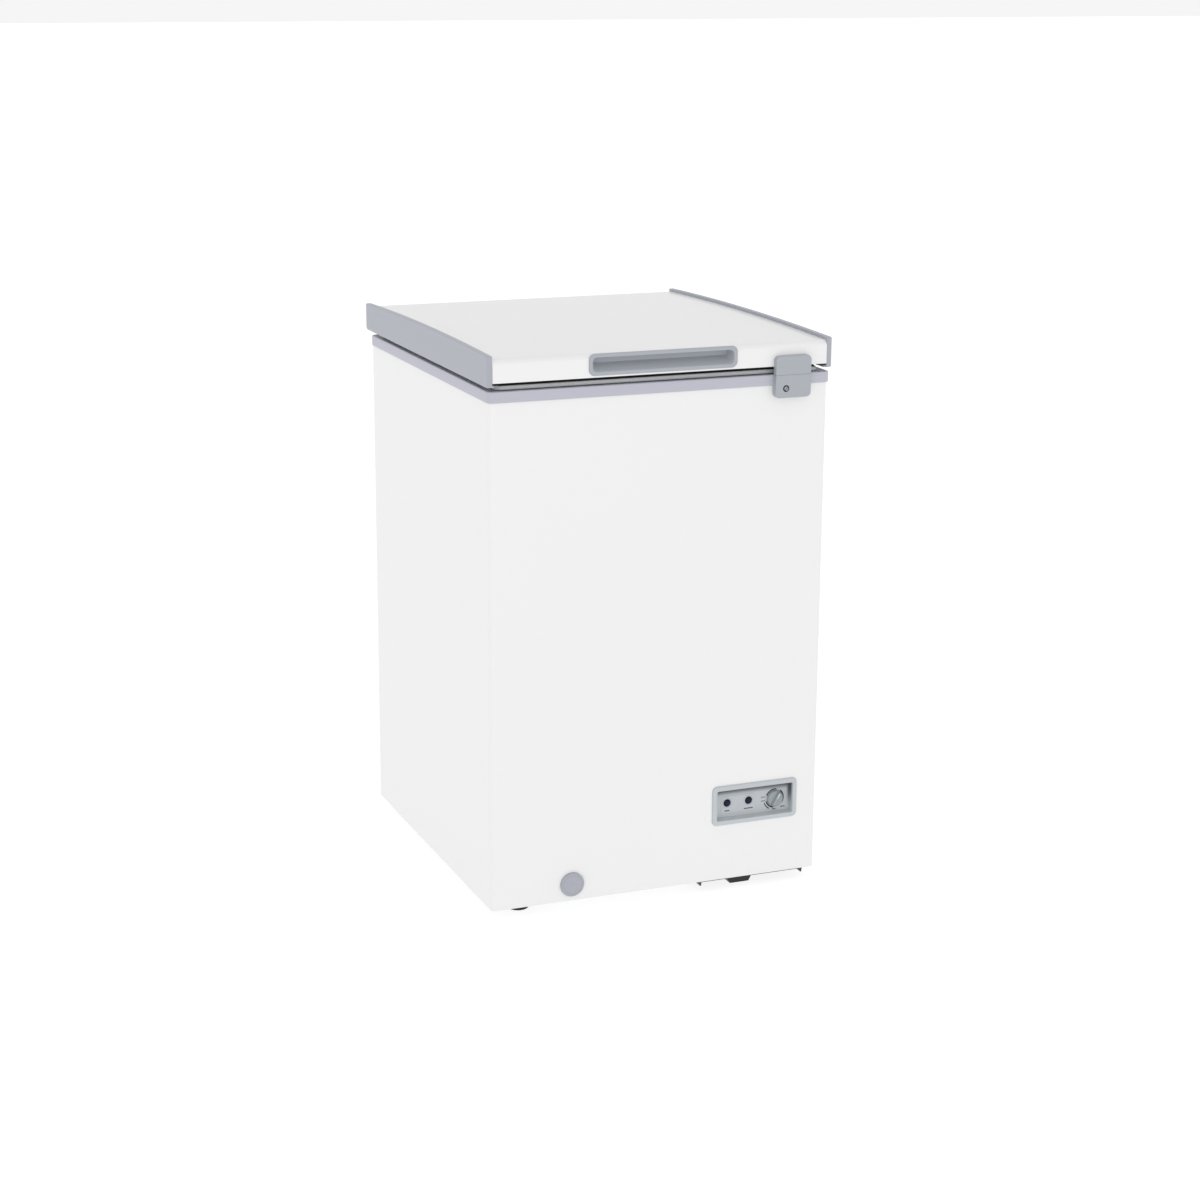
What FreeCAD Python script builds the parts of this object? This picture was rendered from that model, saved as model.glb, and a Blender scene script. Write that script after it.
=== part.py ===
"""Small chest freezer with a spring-hinged lid, modelled piece by piece.

Millimetres. +X is to the right of someone facing the front, +Y points to the back and
+Z up. The origin is the middle of the bounding box on the floor.
"""
import FreeCAD, Part
import math
import os
from types import SimpleNamespace

import Sketcher
from FreeCAD import Placement, Rotation, Vector

DOC = FreeCAD.newDocument("chest_freezer")
SHEET = DOC.addObject("Spreadsheet::Sheet", "Sizes")

# name, millimetres (or degrees), what it is
DRIVING_SIZES = [
    ("cab_w", 530.0, "cabinet width over the painted wrap"),
    ("cab_d", 560.0, "cabinet depth from front face to rear panel"),
    ("wrap_z", 762.0, "visible height of the painted wrap, up to the collar"),
    ("cab_low", 18.0, "floor to the bottom of the cabinet"),
    ("sheet_t", 0.8, "painted sheet steel"),
    ("edge_r", 6.0, "radius of the wrap's front corners"),
    ("wall_t", 60.0, "insulated side wall, painted face to liner"),
    ("liner_t", 1.2, "liner sheet"),
    ("liner_r", 24.0, "upright corner radius of the tub"),
    ("floor_t", 60.0, "insulated floor"),
    ("collar_z", 16.0, "height of the collar's outer face"),
    ("collar_out", 2.7, "how far the collar stands out from the wrap"),
    ("collar_t", 2.4, "collar wall"),
    ("collar_lap", 8.0, "depth of the wrap inside the collar"),
    ("collar_skirt", 12.0, "collar's inner skirt, down inside the tub"),
    ("comp_spare", 5.0, "compressor compartment beyond the control bezel"),
    ("comp_z", 222.0, "compressor compartment height"),
    ("step_wall", 45.0, "foam beside the compartment"),
    ("step_top_t", 50.0, "foam over the compartment"),
    ("lid_gap", 12.0, "collar top to the underside of the closed lid"),
    ("lid_z", 42.0, "underside of the lid to the highest point of its covers"),
    ("lid_front", 3.0, "lid front ahead of the wrap"),
    ("lid_rear", 23.0, "lid back edge behind the wrap"),
    ("arch_r", 9540.0, "radius of the lid's front-to-back arch"),
    ("arch_ahead", 49.0, "arch's highest line ahead of the lid's middle"),
    ("panel_t", 1.0, "lid outer panel"),
    ("panel_r", 9.0, "rounding along the lid's front and back edges"),
    ("cover_t", 8.0, "lid side cover thickness"),
    ("cover_wall", 2.5, "wall of the lid side cover"),
    ("cover_out", 4.0, "lid side cover beyond the wrap"),
    ("cover_proud", 4.5, "lid side cover above the white panel"),
    ("cover_drop", 6.0, "lid side cover below the white panel"),
    ("cover_r", 3.0, "corner rounding of the lid side cover"),
    ("cover_lip", 4.0, "inward lip under the lid side cover"),
    ("inner_t", 1.5, "lid inner panel"),
    ("dome_z", 14.0, "depth of the lid inner panel's dome into the tub"),
    ("dome_gap", 22.0, "dome to the tub wall, room for the basket's hooks"),
    ("seal_in", 14.0, "collar edge to gasket at the sides"),
    ("seal_in_y", 10.0, "collar edge to gasket at front and back"),
    ("seal_w", 20.0, "gasket width"),
    ("seal_neck", 12.0, "gasket neck width"),
    ("seal_bulb", 6.0, "gasket bulb height"),
    ("seal_clear", 0.3, "gasket to collar"),
    ("handle_w", 232.0, "handle bezel width"),
    ("handle_z", 32.0, "handle bezel height"),
    ("handle_up", 2.5, "handle bezel above the lid's lower edge"),
    ("handle_r", 9.0, "handle bezel corner"),
    ("handle_rim", 6.0, "handle bezel rim"),
    ("handle_deep", 15.0, "depth of the finger pocket"),
    ("handle_proud", 2.0, "handle bezel in front of the lid"),
    ("insert_t", 1.6, "wall of the handle and control inserts"),
    ("edge_in", 33.0, "lock and control panel to the cabinet's right face"),
    ("lock_w", 57.0, "lock width"),
    ("lock_low_z", 34.0, "height of the lock's lower half"),
    ("lock_up_z", 28.0, "height of the lock's upper half"),
    ("lock_r", 7.0, "lock corner radius"),
    ("lock_out", 12.0, "lock face in front of the wrap"),
    ("lock_wall", 3.2, "lock face wall"),
    ("lock_key_in", 16.5, "keyhole centre from the lock's left edge"),
    ("lock_key_up", 14.0, "keyhole centre above the lock's lower edge"),
    ("key_r", 5.0, "lock barrel radius"),
    ("key_proud", 0.8, "lock barrel in front of the lock's face"),
    ("cam_reach", 16.0, "lock cam reach from the barrel's axis"),
    ("cam_w", 5.0, "lock cam width"),
    ("cam_t", 2.0, "lock cam thickness"),
    ("tongue_t", 2.4, "lock tongue thickness"),
    ("tongue_drop", 6.0, "lock tongue's crossbar height"),
    ("slot_half", 2.6, "reach of the keyhole's slanted slot"),
    ("slot_edge", 0.9, "keyhole slot's half width across its slant"),
    ("slot_deep", 1.6, "depth of the keyhole's slot"),
    ("run_fit", 0.06, "radial clearance of a turning fit"),
    ("part_gap", 0.3, "clearance between pieces that part"),
    ("bezel_w", 142.0, "control bezel width"),
    ("bezel_z", 63.0, "control bezel height"),
    ("bezel_mid", 137.0, "height of the control bezel's middle"),
    ("bezel_r", 8.0, "control bezel corner"),
    ("bezel_rim", 8.0, "control bezel rim"),
    ("bezel_proud", 3.0, "control bezel in front of the wrap"),
    ("bezel_deep", 9.0, "control floor behind the wrap's face"),
    ("lamp_r", 6.0, "indicator lamp radius"),
    ("lamp_left", 29.0, "left lamp from the bezel's left edge"),
    ("lamp_pitch", 36.0, "distance between the lamps"),
    ("knob_in", 32.5, "knob axis from the bezel's right edge"),
    ("knob_down", 2.0, "knob axis below the bezel's middle"),
    ("lamp_rise", 2.8, "indicator lamp in front of the control floor"),
    ("lamp_tail", 14.0, "lamp holder behind the control floor"),
    ("lamp_tail_r", 4.0, "lamp holder's end radius"),
    ("knob_r", 13.0, "thermostat knob radius"),
    ("knob_z", 9.0, "thermostat knob height"),
    ("knob_skirt", 3.0, "upright edge of the knob"),
    ("knob_bore", 4.0, "depth of the shaft's seat in the knob"),
    ("grip_half", 2.4, "half the knob's grip bar"),
    ("grip_short", 2.0, "grip bar's end inside the knob's edge"),
    ("shaft_r", 3.0, "thermostat shaft radius"),
    ("shaft_in", 11.0, "thermostat shaft in its body"),
    ("stat_half", 19.0, "half the thermostat body's width"),
    ("stat_down", 16.0, "thermostat body below its shaft"),
    ("stat_up", 20.0, "thermostat body above its shaft"),
    ("stat_d", 30.0, "thermostat body depth"),
    ("drain_x", 138.0, "drain to the left of the middle"),
    ("drain_up", 26.0, "drain outlet above the cabinet's bottom"),
    ("drain_back", 95.0, "tub drain behind the front face"),
    ("drain_r", 8.0, "drain bore radius"),
    ("drain_wall", 2.0, "drain tube wall"),
    ("cap_r", 18.7, "drain cap radius"),
    ("cap_t", 4.4, "drain cap thickness"),
    ("cap_stem", 16.0, "drain cap's stem in the drain tube"),
    ("cap_edge", 1.2, "chamfer of the drain cap"),
    ("bung_out", 7.0, "bung's flange beyond the drain bore"),
    ("bung_t", 3.0, "bung's flange at its edge"),
    ("bung_stem", 12.0, "bung's stem in the drain tube"),
    ("bung_taper", 4.0, "tapered end of the bung's stem"),
    ("bung_grip_r", 4.0, "radius of the bung's grip"),
    ("bung_grip_z", 14.0, "top of the bung's grip above the tub floor"),
    ("foot_r", 18.0, "rubber foot radius"),
    ("foot_step", 4.0, "height of the rubber foot's narrower tread"),
    ("foot_tread", 2.0, "rubber foot's tread inside its edge"),
    ("foot_in_x", 58.0, "rubber foot to the cabinet's left face"),
    ("foot_in_y", 47.0, "rubber foot to the front or back face"),
    ("tray_t", 1.5, "compressor tray sheet"),
    ("tray_left", 11.0, "tray beyond the compartment, to the left"),
    ("tray_right", 19.0, "tray to the cabinet's right face"),
    ("tray_flange", 8.0, "depth of the tray's side flanges"),
    ("press_w", 49.0, "pressed foot width at the tray"),
    ("press_low", 32.0, "pressed foot width on the floor"),
    ("press_in", 117.0, "pressed foot middle to the cabinet's right face"),
    ("press_y", 20.0, "pressed foot behind the front face"),
    ("press_d", 42.0, "pressed foot depth"),
    ("comp_r", 66.0, "compressor shell radius"),
    ("comp_shell_z", 140.0, "compressor shell height"),
    ("comp_back", 120.0, "compressor axis to the rear panel"),
    ("foot_plate_t", 3.0, "compressor foot plate"),
    ("foot_plate_out", 14.0, "foot plate beyond the mounting bolts"),
    ("foot_plate_r", 10.0, "foot plate corner"),
    ("bolt_head_t", 4.0, "compressor bolt's nut"),
    ("bolt_end", 2.0, "compressor bolt's head under the tray"),
    ("port_gap", 4.0, "pipes and relay cover clear of the compressor shell"),
    ("suction_r", 4.0, "suction tube radius"),
    ("suction_x", 20.0, "suction tube beside the compressor's axis"),
    ("suction_out", 16.0, "suction tube's run away from the shell"),
    ("suction_up", 122.0, "suction tube above the compressor's foot plate"),
    ("discharge_r", 2.5, "discharge tube radius"),
    ("discharge_out", 11.0, "discharge tube's run away from the shell"),
    ("discharge_up", 60.0, "discharge tube above the compressor's foot plate"),
    ("line_bend", 9.0, "bend radius of the suction and discharge tubes"),
    ("relay_w", 48.0, "start relay cover width"),
    ("relay_d", 34.0, "start relay cover depth"),
    ("relay_z", 52.0, "start relay cover height"),
    ("relay_up", 40.0, "start relay cover above the foot plate"),
    ("relay_r", 5.0, "start relay cover corner"),
    ("drier_r", 9.0, "filter drier radius"),
    ("drier_neck_r", 3.0, "filter drier neck radius"),
    ("drier_neck", 8.0, "filter drier neck length"),
    ("drier_taper", 8.0, "filter drier taper length"),
    ("drier_l", 108.0, "filter drier length"),
    ("drier_x", 40.0, "filter drier left of the compressor's axis"),
    ("drier_y", 66.0, "filter drier's rear end ahead of the shell"),
    ("drier_down", 40.0, "filter drier below the compartment's top"),
    ("grommet_r", 11.0, "compressor grommet radius"),
    ("grommet_z", 14.0, "compressor grommet height"),
    ("mount_x", 60.0, "compressor mounting bolt from its axis, across"),
    ("mount_y", 72.0, "compressor mounting bolt from its axis, along"),
    ("coil_r", 3.2, "evaporator tube radius"),
    ("coil_pitch", 84.0, "evaporator tube pitch"),
    ("coil_rows", 5.0, "rounds of the evaporator tube"),
    ("coil_up", 40.0, "lowest evaporator round above the step"),
    ("coil_end", 30.0, "evaporator round's end to the tub's rear wall"),
    ("coil_clear", 0.2, "evaporator tube to the liner"),
    ("cond_r", 2.4, "condenser tube radius"),
    ("cond_pitch", 96.0, "condenser tube pitch"),
    ("cond_rows", 6.0, "runs of the condenser tube"),
    ("cond_up", 130.0, "lowest condenser run above the cabinet's bottom"),
    ("cond_in", 60.0, "condenser bends to the front and back faces"),
    ("cond_bend", 40.0, "condenser tube bend radius"),
    ("cond_clear", 0.1, "condenser tube to the painted sheet"),
    ("hinge_x", 150.0, "hinge middle from the lid's middle"),
    ("hinge_back", 12.0, "hinge axis behind the rear panel"),
    ("hinge_up", 4.0, "hinge axis above the collar's top"),
    ("hinge_r", 7.5, "hinge ear radius"),
    ("hinge_half", 27.2, "half the hinge width over its ears"),
    ("ear_t", 3.0, "hinge ear thickness"),
    ("hinge_plate_t", 2.0, "hinge plate thickness"),
    ("hinge_plate_z", 78.0, "hinge plate height"),
    ("knuckle_w", 10.0, "width of each hinge knuckle"),
    ("knuckle_t", 2.6, "hinge knuckle wall"),
    ("gusset_low", 20.0, "hinge ear's foot above the plate's lower end"),
    ("gusset_drop", 24.0, "hinge ear's nose below the pin"),
    ("pin_out", 1.5, "hinge pin beyond each ear, and its head's extra radius"),
    ("hinge_screw_l", 11.0, "hinge screws in the foam"),
    ("leaf_screw_x", 17.0, "pitch of the hinge leaf's screws"),
    ("leaf_screw_y", 4.0, "hinge leaf's screws from its front edge"),
    ("leaf_head_t", 1.6, "hinge leaf screw's head"),
    ("pin_r", 3.5, "hinge pin radius"),
    ("spring_wire", 1.9, "hinge spring wire"),
    ("spring_turns", 12.0, "hinge spring turns"),
    ("screw_r", 2.0, "screw shank radius"),
    ("head_r", 4.2, "screw head radius"),
    ("head_t", 2.4, "screw head thickness"),
    ("grille_t", 1.0, "grille sheet"),
    ("grille_lap", 6.0, "grille overlap on the rear panel"),
    ("slot_z", 6.0, "grille slot height"),
    ("slot_pitch", 16.0, "grille slot pitch"),
    ("slot_rows", 8.0, "slots in the grille"),
    ("slot_up", 66.0, "lowest slot above the grille's lower edge"),
    ("slot_in", 24.0, "slots to the grille's side edges"),
    ("grille_up", 2.0, "grille above the cabinet's bottom"),
    ("grille_screw_in", 8.0, "grille screw to the service opening's corner"),
    ("gland_in", 34.0, "cord gland to the grille's left edge"),
    ("gland_up", 30.0, "cord gland above the grille's lower edge"),
    ("gland_r", 9.0, "seat of the cord gland"),
    ("gland_flange_r", 12.0, "cord gland flange"),
    ("gland_nose_r", 6.0, "cord gland nose"),
    ("gland_z", 9.0, "cord gland behind the rear panel"),
    ("cable_r", 3.6, "cord gland bore radius"),
    ("basket_w", 190.0, "basket width"),
    ("basket_z", 170.0, "basket depth"),
    ("wire_r", 2.0, "basket frame wire radius"),
    ("mesh_r", 1.3, "basket mesh wire radius"),
    ("basket_clear", 12.0, "basket to the tub wall"),
    ("basket_sink", 18.0, "basket rim below the collar's top"),
    ("basket_across", 8.0, "meshes across the basket"),
    ("basket_along", 16.0, "meshes along the basket"),
    ("hook_in", 44.0, "basket hooks to its sides"),
    ("hook_lap", 9.0, "basket hooks beyond the collar's inner edge"),
]


class Size:
    """A length together with the sheet formula that gives it."""

    def __init__(self, number, formula):
        self.number = float(number)
        self.formula = formula

    def __add__(self, other):
        other = as_size(other)
        return Size(self.number + other.number, f"({self.formula} + {other.formula})")

    def __sub__(self, other):
        other = as_size(other)
        return Size(self.number - other.number, f"({self.formula} - {other.formula})")

    def __mul__(self, other):
        other = as_size(other)
        return Size(self.number * other.number, f"({self.formula} * {other.formula})")

    def __truediv__(self, other):
        other = as_size(other)
        return Size(self.number / other.number, f"({self.formula} / {other.formula})")

    def __neg__(self):
        return Size(-self.number, f"(0 - {self.formula})")

    def __rsub__(self, other):
        return as_size(other) - self

    __radd__ = __add__
    __rmul__ = __mul__


def as_size(value):
    """Returns value itself if it is a Size, else a plain number as one."""
    if isinstance(value, Size):
        return value
    return Size(value, f"({float(value):.6f})")


def fill_sheet(rows):
    """Writes the driving sizes in the sheet and returns them by name."""
    sizes = {}
    for row, (name, value, note) in enumerate(rows, start=1):
        SHEET.set(f"A{row}", note)
        SHEET.set(f"B{row}", str(value))
        SHEET.setAlias(f"B{row}", name)
        sizes[name] = Size(value, f"Sizes.{name}")
    DOC.recompute()
    return SimpleNamespace(**sizes)


d = fill_sheet(DRIVING_SIZES)

# Places that several pieces share, worked out from the driving sizes.
shift = (d.lock_out + d.key_proud - d.lid_rear) / 2
front = shift - d.cab_d / 2
back = shift + d.cab_d / 2
left = -(d.cab_w / 2)
right = d.cab_w / 2
wrap_top = d.cab_low + d.wrap_z
collar_top = wrap_top + d.collar_z
lid_low = collar_top + d.lid_gap
peak = lid_low + d.lid_z
white_peak = peak - d.cover_proud
lid_y0 = front - d.lid_front
lid_y1 = back + d.lid_rear
lid_x = right + d.cover_out - d.cover_t
arch_y = (lid_y0 + lid_y1) / 2 - d.arch_ahead

tub_x = right - d.wall_t
tub_y0 = front + d.wall_t
tub_y1 = back - d.wall_t
foam_top = collar_top - d.collar_t - d.liner_t
tub_low = d.cab_low + d.floor_t
comp_left = right - d.edge_in - d.bezel_w - d.comp_spare
comp_top = d.cab_low + d.comp_z
step_x = comp_left - d.step_wall
step_z = comp_top + d.step_top_t

hinge_y = back + d.hinge_back
hinge_z = collar_top + d.hinge_up
leaf_front = back + d.collar_out - d.seal_in_y + 0.5

bezel_x1 = right - d.edge_in
bezel_x0 = bezel_x1 - d.bezel_w
bezel_z0 = d.bezel_mid - d.bezel_z / 2
bezel_z1 = d.bezel_mid + d.bezel_z / 2
knob_x = bezel_x1 - d.knob_in
knob_axis_z = d.bezel_mid - d.knob_down

lock_x1 = right - d.edge_in
lock_x0 = lock_x1 - d.lock_w
lock_y = front - d.lock_out
lock_z0 = collar_top - d.lock_low_z
key_x = lock_x0 + d.lock_key_in
key_z = lock_z0 + d.lock_key_up
cam_y = lock_y + d.lock_wall + d.part_gap

handle_x = d.handle_w / 2
handle_z0 = lid_low + d.handle_up
handle_z1 = handle_z0 + d.handle_z

drain_x = -d.drain_x
drain_z = d.cab_low + d.drain_up
drain_y = front + d.drain_back

PLANE_SIDES = {"XY": 1, "XZ": -1, "YZ": 1}


# ---------------------------------------------------------------- sketches
def hold(sketch, geometry, point, x, y):
    """Ties one point of a sketch to x and y of the sheet."""
    for kind, value in (("DistanceX", x), ("DistanceY", y)):
        value = as_size(value)
        rule = Sketcher.Constraint(kind, -1, 1, geometry, point, value.number)
        index = sketch.addConstraint(rule)
        sketch.setExpression(f"Constraints[{index}]", value.formula)


def hold_radius(sketch, geometry, radius):
    """Ties the radius of an arc or circle to the sheet."""
    index = sketch.addConstraint(Sketcher.Constraint("Radius", geometry, radius.number))
    sketch.setExpression(f"Constraints[{index}]", radius.formula)


class Outline:
    """A closed outline with straight sides through its corners."""

    def __init__(self, *corners):
        self.corners = [(as_size(x), as_size(y)) for x, y in corners]

    def draw(self, sketch):
        first = sketch.GeometryCount
        count = len(self.corners)
        points = [Vector(x.number, y.number, 0) for x, y in self.corners]
        for i in range(count):
            sketch.addGeometry(Part.LineSegment(points[i], points[(i + 1) % count]), False)
        for i in range(count):
            following = first + (i + 1) % count
            sketch.addConstraint(Sketcher.Constraint("Coincident", first + i, 2, following, 1))
            hold(sketch, first + i, 1, *self.corners[i])


def rectangle(x0, x1, y0, y1):
    """Returns a rectangular outline."""
    return Outline((x0, y0), (x1, y0), (x1, y1), (x0, y1))


class RoundedRectangle:
    """A rectangle whose four corners are quarter circles."""

    def __init__(self, x0, x1, y0, y1, radius):
        self.sides = [as_size(side) for side in (x0, x1, y0, y1)]
        self.radius = as_size(radius)

    def draw(self, sketch):
        x0, x1, y0, y1 = self.sides
        r = self.radius
        ends = [
            ((x0 + r, y0), (x1 - r, y0)),
            ((x1, y0 + r), (x1, y1 - r)),
            ((x1 - r, y1), (x0 + r, y1)),
            ((x0, y1 - r), (x0, y0 + r)),
        ]
        centres = [(x1 - r, y0 + r), (x1 - r, y1 - r), (x0 + r, y1 - r), (x0 + r, y0 + r)]
        first = sketch.GeometryCount
        for start, end in ends:
            p, q = (Vector(x.number, y.number, 0) for x, y in (start, end))
            sketch.addGeometry(Part.LineSegment(p, q), False)
        for i, (x, y) in enumerate(centres):
            circle = Part.Circle(Vector(x.number, y.number, 0), Vector(0, 0, 1), r.number)
            turn = math.radians(90 * i - 90)
            sketch.addGeometry(Part.ArcOfCircle(circle, turn, turn + math.pi / 2), False)
        for i, (start, end) in enumerate(ends):
            arc = first + 4 + i
            hold(sketch, first + i, 1, *start)
            hold(sketch, first + i, 2, *end)
            sketch.addConstraint(Sketcher.Constraint("Coincident", first + i, 2, arc, 1))
            sketch.addConstraint(Sketcher.Constraint("Coincident", first + (i + 1) % 4, 1, arc, 2))
            hold_radius(sketch, arc, r)


class Disc:
    """A full circle."""

    def __init__(self, x, y, radius):
        self.x, self.y, self.radius = as_size(x), as_size(y), as_size(radius)

    def draw(self, sketch):
        centre = Vector(self.x.number, self.y.number, 0)
        circle = Part.Circle(centre, Vector(0, 0, 1), self.radius.number)
        index = sketch.addGeometry(circle, False)
        hold(sketch, index, 3, self.x, self.y)
        hold_radius(sketch, index, self.radius)


class LidProfile:
    """The lid's side view: flat underside, upright ends and an arched top.

    The inset moves every side inwards by the same amount, apart from the underside.
    """

    def __init__(self, low, top, corner, inset=0.0):
        self.low = as_size(low)
        self.inset = as_size(inset)
        self.y0 = lid_y0 + self.inset
        self.y1 = lid_y1 - self.inset
        self.arch_r = d.arch_r - self.inset
        self.arch_z = top - d.arch_r
        self.corner = as_size(corner) - self.inset

    def corner_centre(self, y):
        """Returns the centre of the rounding that touches the arch."""
        reach = self.arch_r.number - self.corner.number
        rise = math.sqrt(reach**2 - (y - arch_y.number) ** 2)
        return Vector(y, self.arch_z.number + rise, 0)

    def draw(self, sketch):
        r = self.corner.number
        middle = Vector(arch_y.number, self.arch_z.number, 0)
        front_centre = self.corner_centre(self.y0.number + r)
        rear_centre = self.corner_centre(self.y1.number - r)
        lean = [math.atan2(c.y - middle.y, c.x - middle.x) for c in (front_centre, rear_centre)]
        up = Vector(0, 0, 1)
        y0, y1, low = self.y0.number, self.y1.number, self.low.number
        bottom_front, bottom_rear = Vector(y0, low, 0), Vector(y1, low, 0)
        shapes = [
            Part.LineSegment(bottom_front, bottom_rear),
            Part.LineSegment(bottom_rear, Vector(y1, rear_centre.y, 0)),
            Part.ArcOfCircle(Part.Circle(rear_centre, up, r), 0, lean[1]),
            Part.ArcOfCircle(Part.Circle(middle, up, self.arch_r.number), lean[1], lean[0]),
            Part.ArcOfCircle(Part.Circle(front_centre, up, r), lean[0], math.pi),
            Part.LineSegment(Vector(y0, front_centre.y, 0), bottom_front),
        ]
        n = sketch.GeometryCount
        sketch.addGeometry(shapes, False)
        rules = [
            ("Coincident", n, 2, n + 1, 1),
            ("Tangent", n + 1, 2, n + 2, 1),
            ("Tangent", n + 2, 2, n + 3, 1),
            ("Tangent", n + 3, 2, n + 4, 1),
            ("Tangent", n + 4, 2, n + 5, 1),
            ("Coincident", n + 5, 2, n, 1),
            ("Vertical", n + 1),
            ("Vertical", n + 5),
        ]
        sketch.addConstraint([Sketcher.Constraint(*rule) for rule in rules])
        hold(sketch, n, 1, self.y0, self.low)
        hold(sketch, n, 2, self.y1, self.low)
        hold(sketch, n + 3, 3, arch_y, self.arch_z)
        hold_radius(sketch, n + 3, self.arch_r)
        hold_radius(sketch, n + 2, self.corner)
        hold_radius(sketch, n + 4, self.corner)


# ---------------------------------------------------------------- features
def new_body(label):
    """Adds an empty body with its label."""
    body = DOC.addObject("PartDesign::Body", label)
    body.Label = label
    return body


def sketch_at(body, plane, level, outlines):
    """Draws outlines on one of the body's origin planes, moved along its normal."""
    sketch = body.newObject("Sketcher::SketchObject", "Sketch")
    support = [item for item in body.Origin.OriginFeatures if item.Role == f"{plane}_Plane"]
    sketch.AttachmentSupport = [(support[0], "")]
    sketch.MapMode = "FlatFace"
    level = as_size(level) * PLANE_SIDES[plane]
    sketch.setExpression("AttachmentOffset.Base.z", level.formula)
    for outline in outlines:
        outline.draw(sketch)
    return sketch


def pad(body, plane, low, high, *outlines):
    """Adds material between two levels along the plane's normal."""
    base = high if plane == "XZ" else low
    feature = body.newObject("PartDesign::Pad", "Pad")
    feature.Profile = sketch_at(body, plane, base, outlines)
    feature.setExpression("Length", (as_size(high) - low).formula)
    return feature


def pocket(body, plane, low, high, *outlines):
    """Cuts material away between two levels along the plane's normal."""
    DOC.recompute()
    before = body.Shape.Volume
    base = high if plane == "XZ" else low
    profile = sketch_at(body, plane, base, outlines)
    feature = body.newObject("PartDesign::Pocket", "Pocket")
    feature.Profile = profile
    feature.Reversed = True
    feature.setExpression("Length", (as_size(high) - low).formula)
    DOC.recompute()
    if body.Shape.Volume > before - 0.01:
        raise RuntimeError(f"a pocket of {body.Label} cuts nothing")
    return feature


def revolve(body, *corners):
    """Turns an outline of radius and height pairs about the body's own Z axis."""
    sketch = sketch_at(body, "XZ", 0, [Outline(*corners)])
    feature = body.newObject("PartDesign::Revolution", "Revolution")
    feature.Profile = sketch
    feature.ReferenceAxis = (sketch, ["V_Axis"])
    feature.Angle = 360.0
    return feature


def place(body, x, y, z, rotation=None):
    """Puts a body at x, y, z, turned by rotation."""
    body.Placement = Placement(Vector(), rotation or Rotation())
    for axis, value in zip("xyz", (x, y, z)):
        body.setExpression(f"Placement.Base.{axis}", as_size(value).formula)


FACING_FRONT = Rotation(Vector(1, 0, 0), 90)


def set_shape(label, shape):
    """Adds a piece whose shape is made directly."""
    piece = DOC.addObject("Part::Feature", label)
    piece.Label = label
    piece.Shape = shape
    return piece


def point(x, y, z):
    """Returns a vector from three sizes or numbers."""
    return Vector(*(as_size(value).number for value in (x, y, z)))


def bent_tube(points, bend, radius):
    """Sweeps a round section along straight runs joined by tangent arcs."""
    edges = []
    start = points[0]
    for before, corner, after in zip(points, points[1:], points[2:]):
        back_way = (before - corner).normalize()
        on_way = (after - corner).normalize()
        half = back_way.getAngle(on_way) / 2
        cut = bend / math.tan(half)
        inward = (back_way + on_way).normalize()
        middle = corner + inward * (bend / math.sin(half) - bend)
        arc_start, arc_end = corner + back_way * cut, corner + on_way * cut
        if (arc_start - start).Length > 1e-6:
            edges.append(Part.LineSegment(start, arc_start).toShape())
        edges.append(Part.Arc(arc_start, middle, arc_end).toShape())
        start = arc_end
    edges.append(Part.LineSegment(start, points[-1]).toShape())
    path = Part.Wire(edges)
    section = Part.Wire(Part.Circle(points[0], points[1] - points[0], radius).toShape())
    return path.makePipeShell([section], True, False)


# ---------------------------------------------------------------- cabinet
def outer_wrap():
    """Painted sheet that forms the front and both sides."""
    body = new_body("outer_wrap")
    top = wrap_top + d.collar_lap
    pad(body, "XY", d.cab_low, top,
        RoundedRectangle(left, right, front, back + d.edge_r, d.edge_r))
    inner_r = d.edge_r - d.sheet_t
    pocket(body, "XY", d.cab_low, top,
           RoundedRectangle(left + d.sheet_t, right - d.sheet_t, front + d.sheet_t,
                            back + d.edge_r * 3, inner_r))
    pocket(body, "XY", d.cab_low, top,
           rectangle(left - 1, right + 1, back, back + d.edge_r * 4))
    pocket(body, "XY", wrap_top, top,
           rectangle(left - 1, right + 1, back - d.edge_r, back + 1))
    rim = d.bezel_rim - d.insert_t - d.part_gap
    pocket(body, "XZ", front - 1, front + d.edge_r,
           rectangle(bezel_x0 + rim, bezel_x1 - rim, bezel_z0 + rim, bezel_z1 - rim),
           Disc(drain_x, drain_z, d.drain_r + d.drain_wall + d.part_gap))


def rear_panel():
    """Flat back sheet with the compartment's service opening."""
    body = new_body("rear_panel")
    inset = d.sheet_t
    pad(body, "XZ", back - d.sheet_t, back, rectangle(left + inset, right - inset, d.cab_low, wrap_top))
    pocket(body, "XZ", back - d.sheet_t * 2, back + 1, service_opening(), *hinge_screw_discs(d.part_gap))


def service_opening():
    """Returns the outline of the opening behind the compressor."""
    return rectangle(comp_left + d.grille_lap * 2, right - d.grille_lap * 2,
                     d.cab_low + d.grille_lap, comp_top - d.grille_lap * 2)


def hinge_screw_discs(extra):
    """Returns the circles of the hinge plate screws, seen from behind."""
    discs = []
    for side in (-1, 1):
        for offset in (-1, 1):
            x = d.hinge_x * side + (d.hinge_half - d.ear_t * 3) * offset
            for rise in (1, 3):
                z = wrap_top - d.hinge_plate_z * rise / 4
                discs.append(Disc(x, z, d.screw_r + extra))
    return discs


def bottom_plate():
    """Steel sheet under the foam, beside the compressor compartment."""
    body = new_body("bottom_plate")
    t = d.sheet_t
    pad(body, "XY", d.cab_low, d.cab_low + t,
        RoundedRectangle(left + t, comp_left, front + t, back - t, d.edge_r - t))


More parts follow.
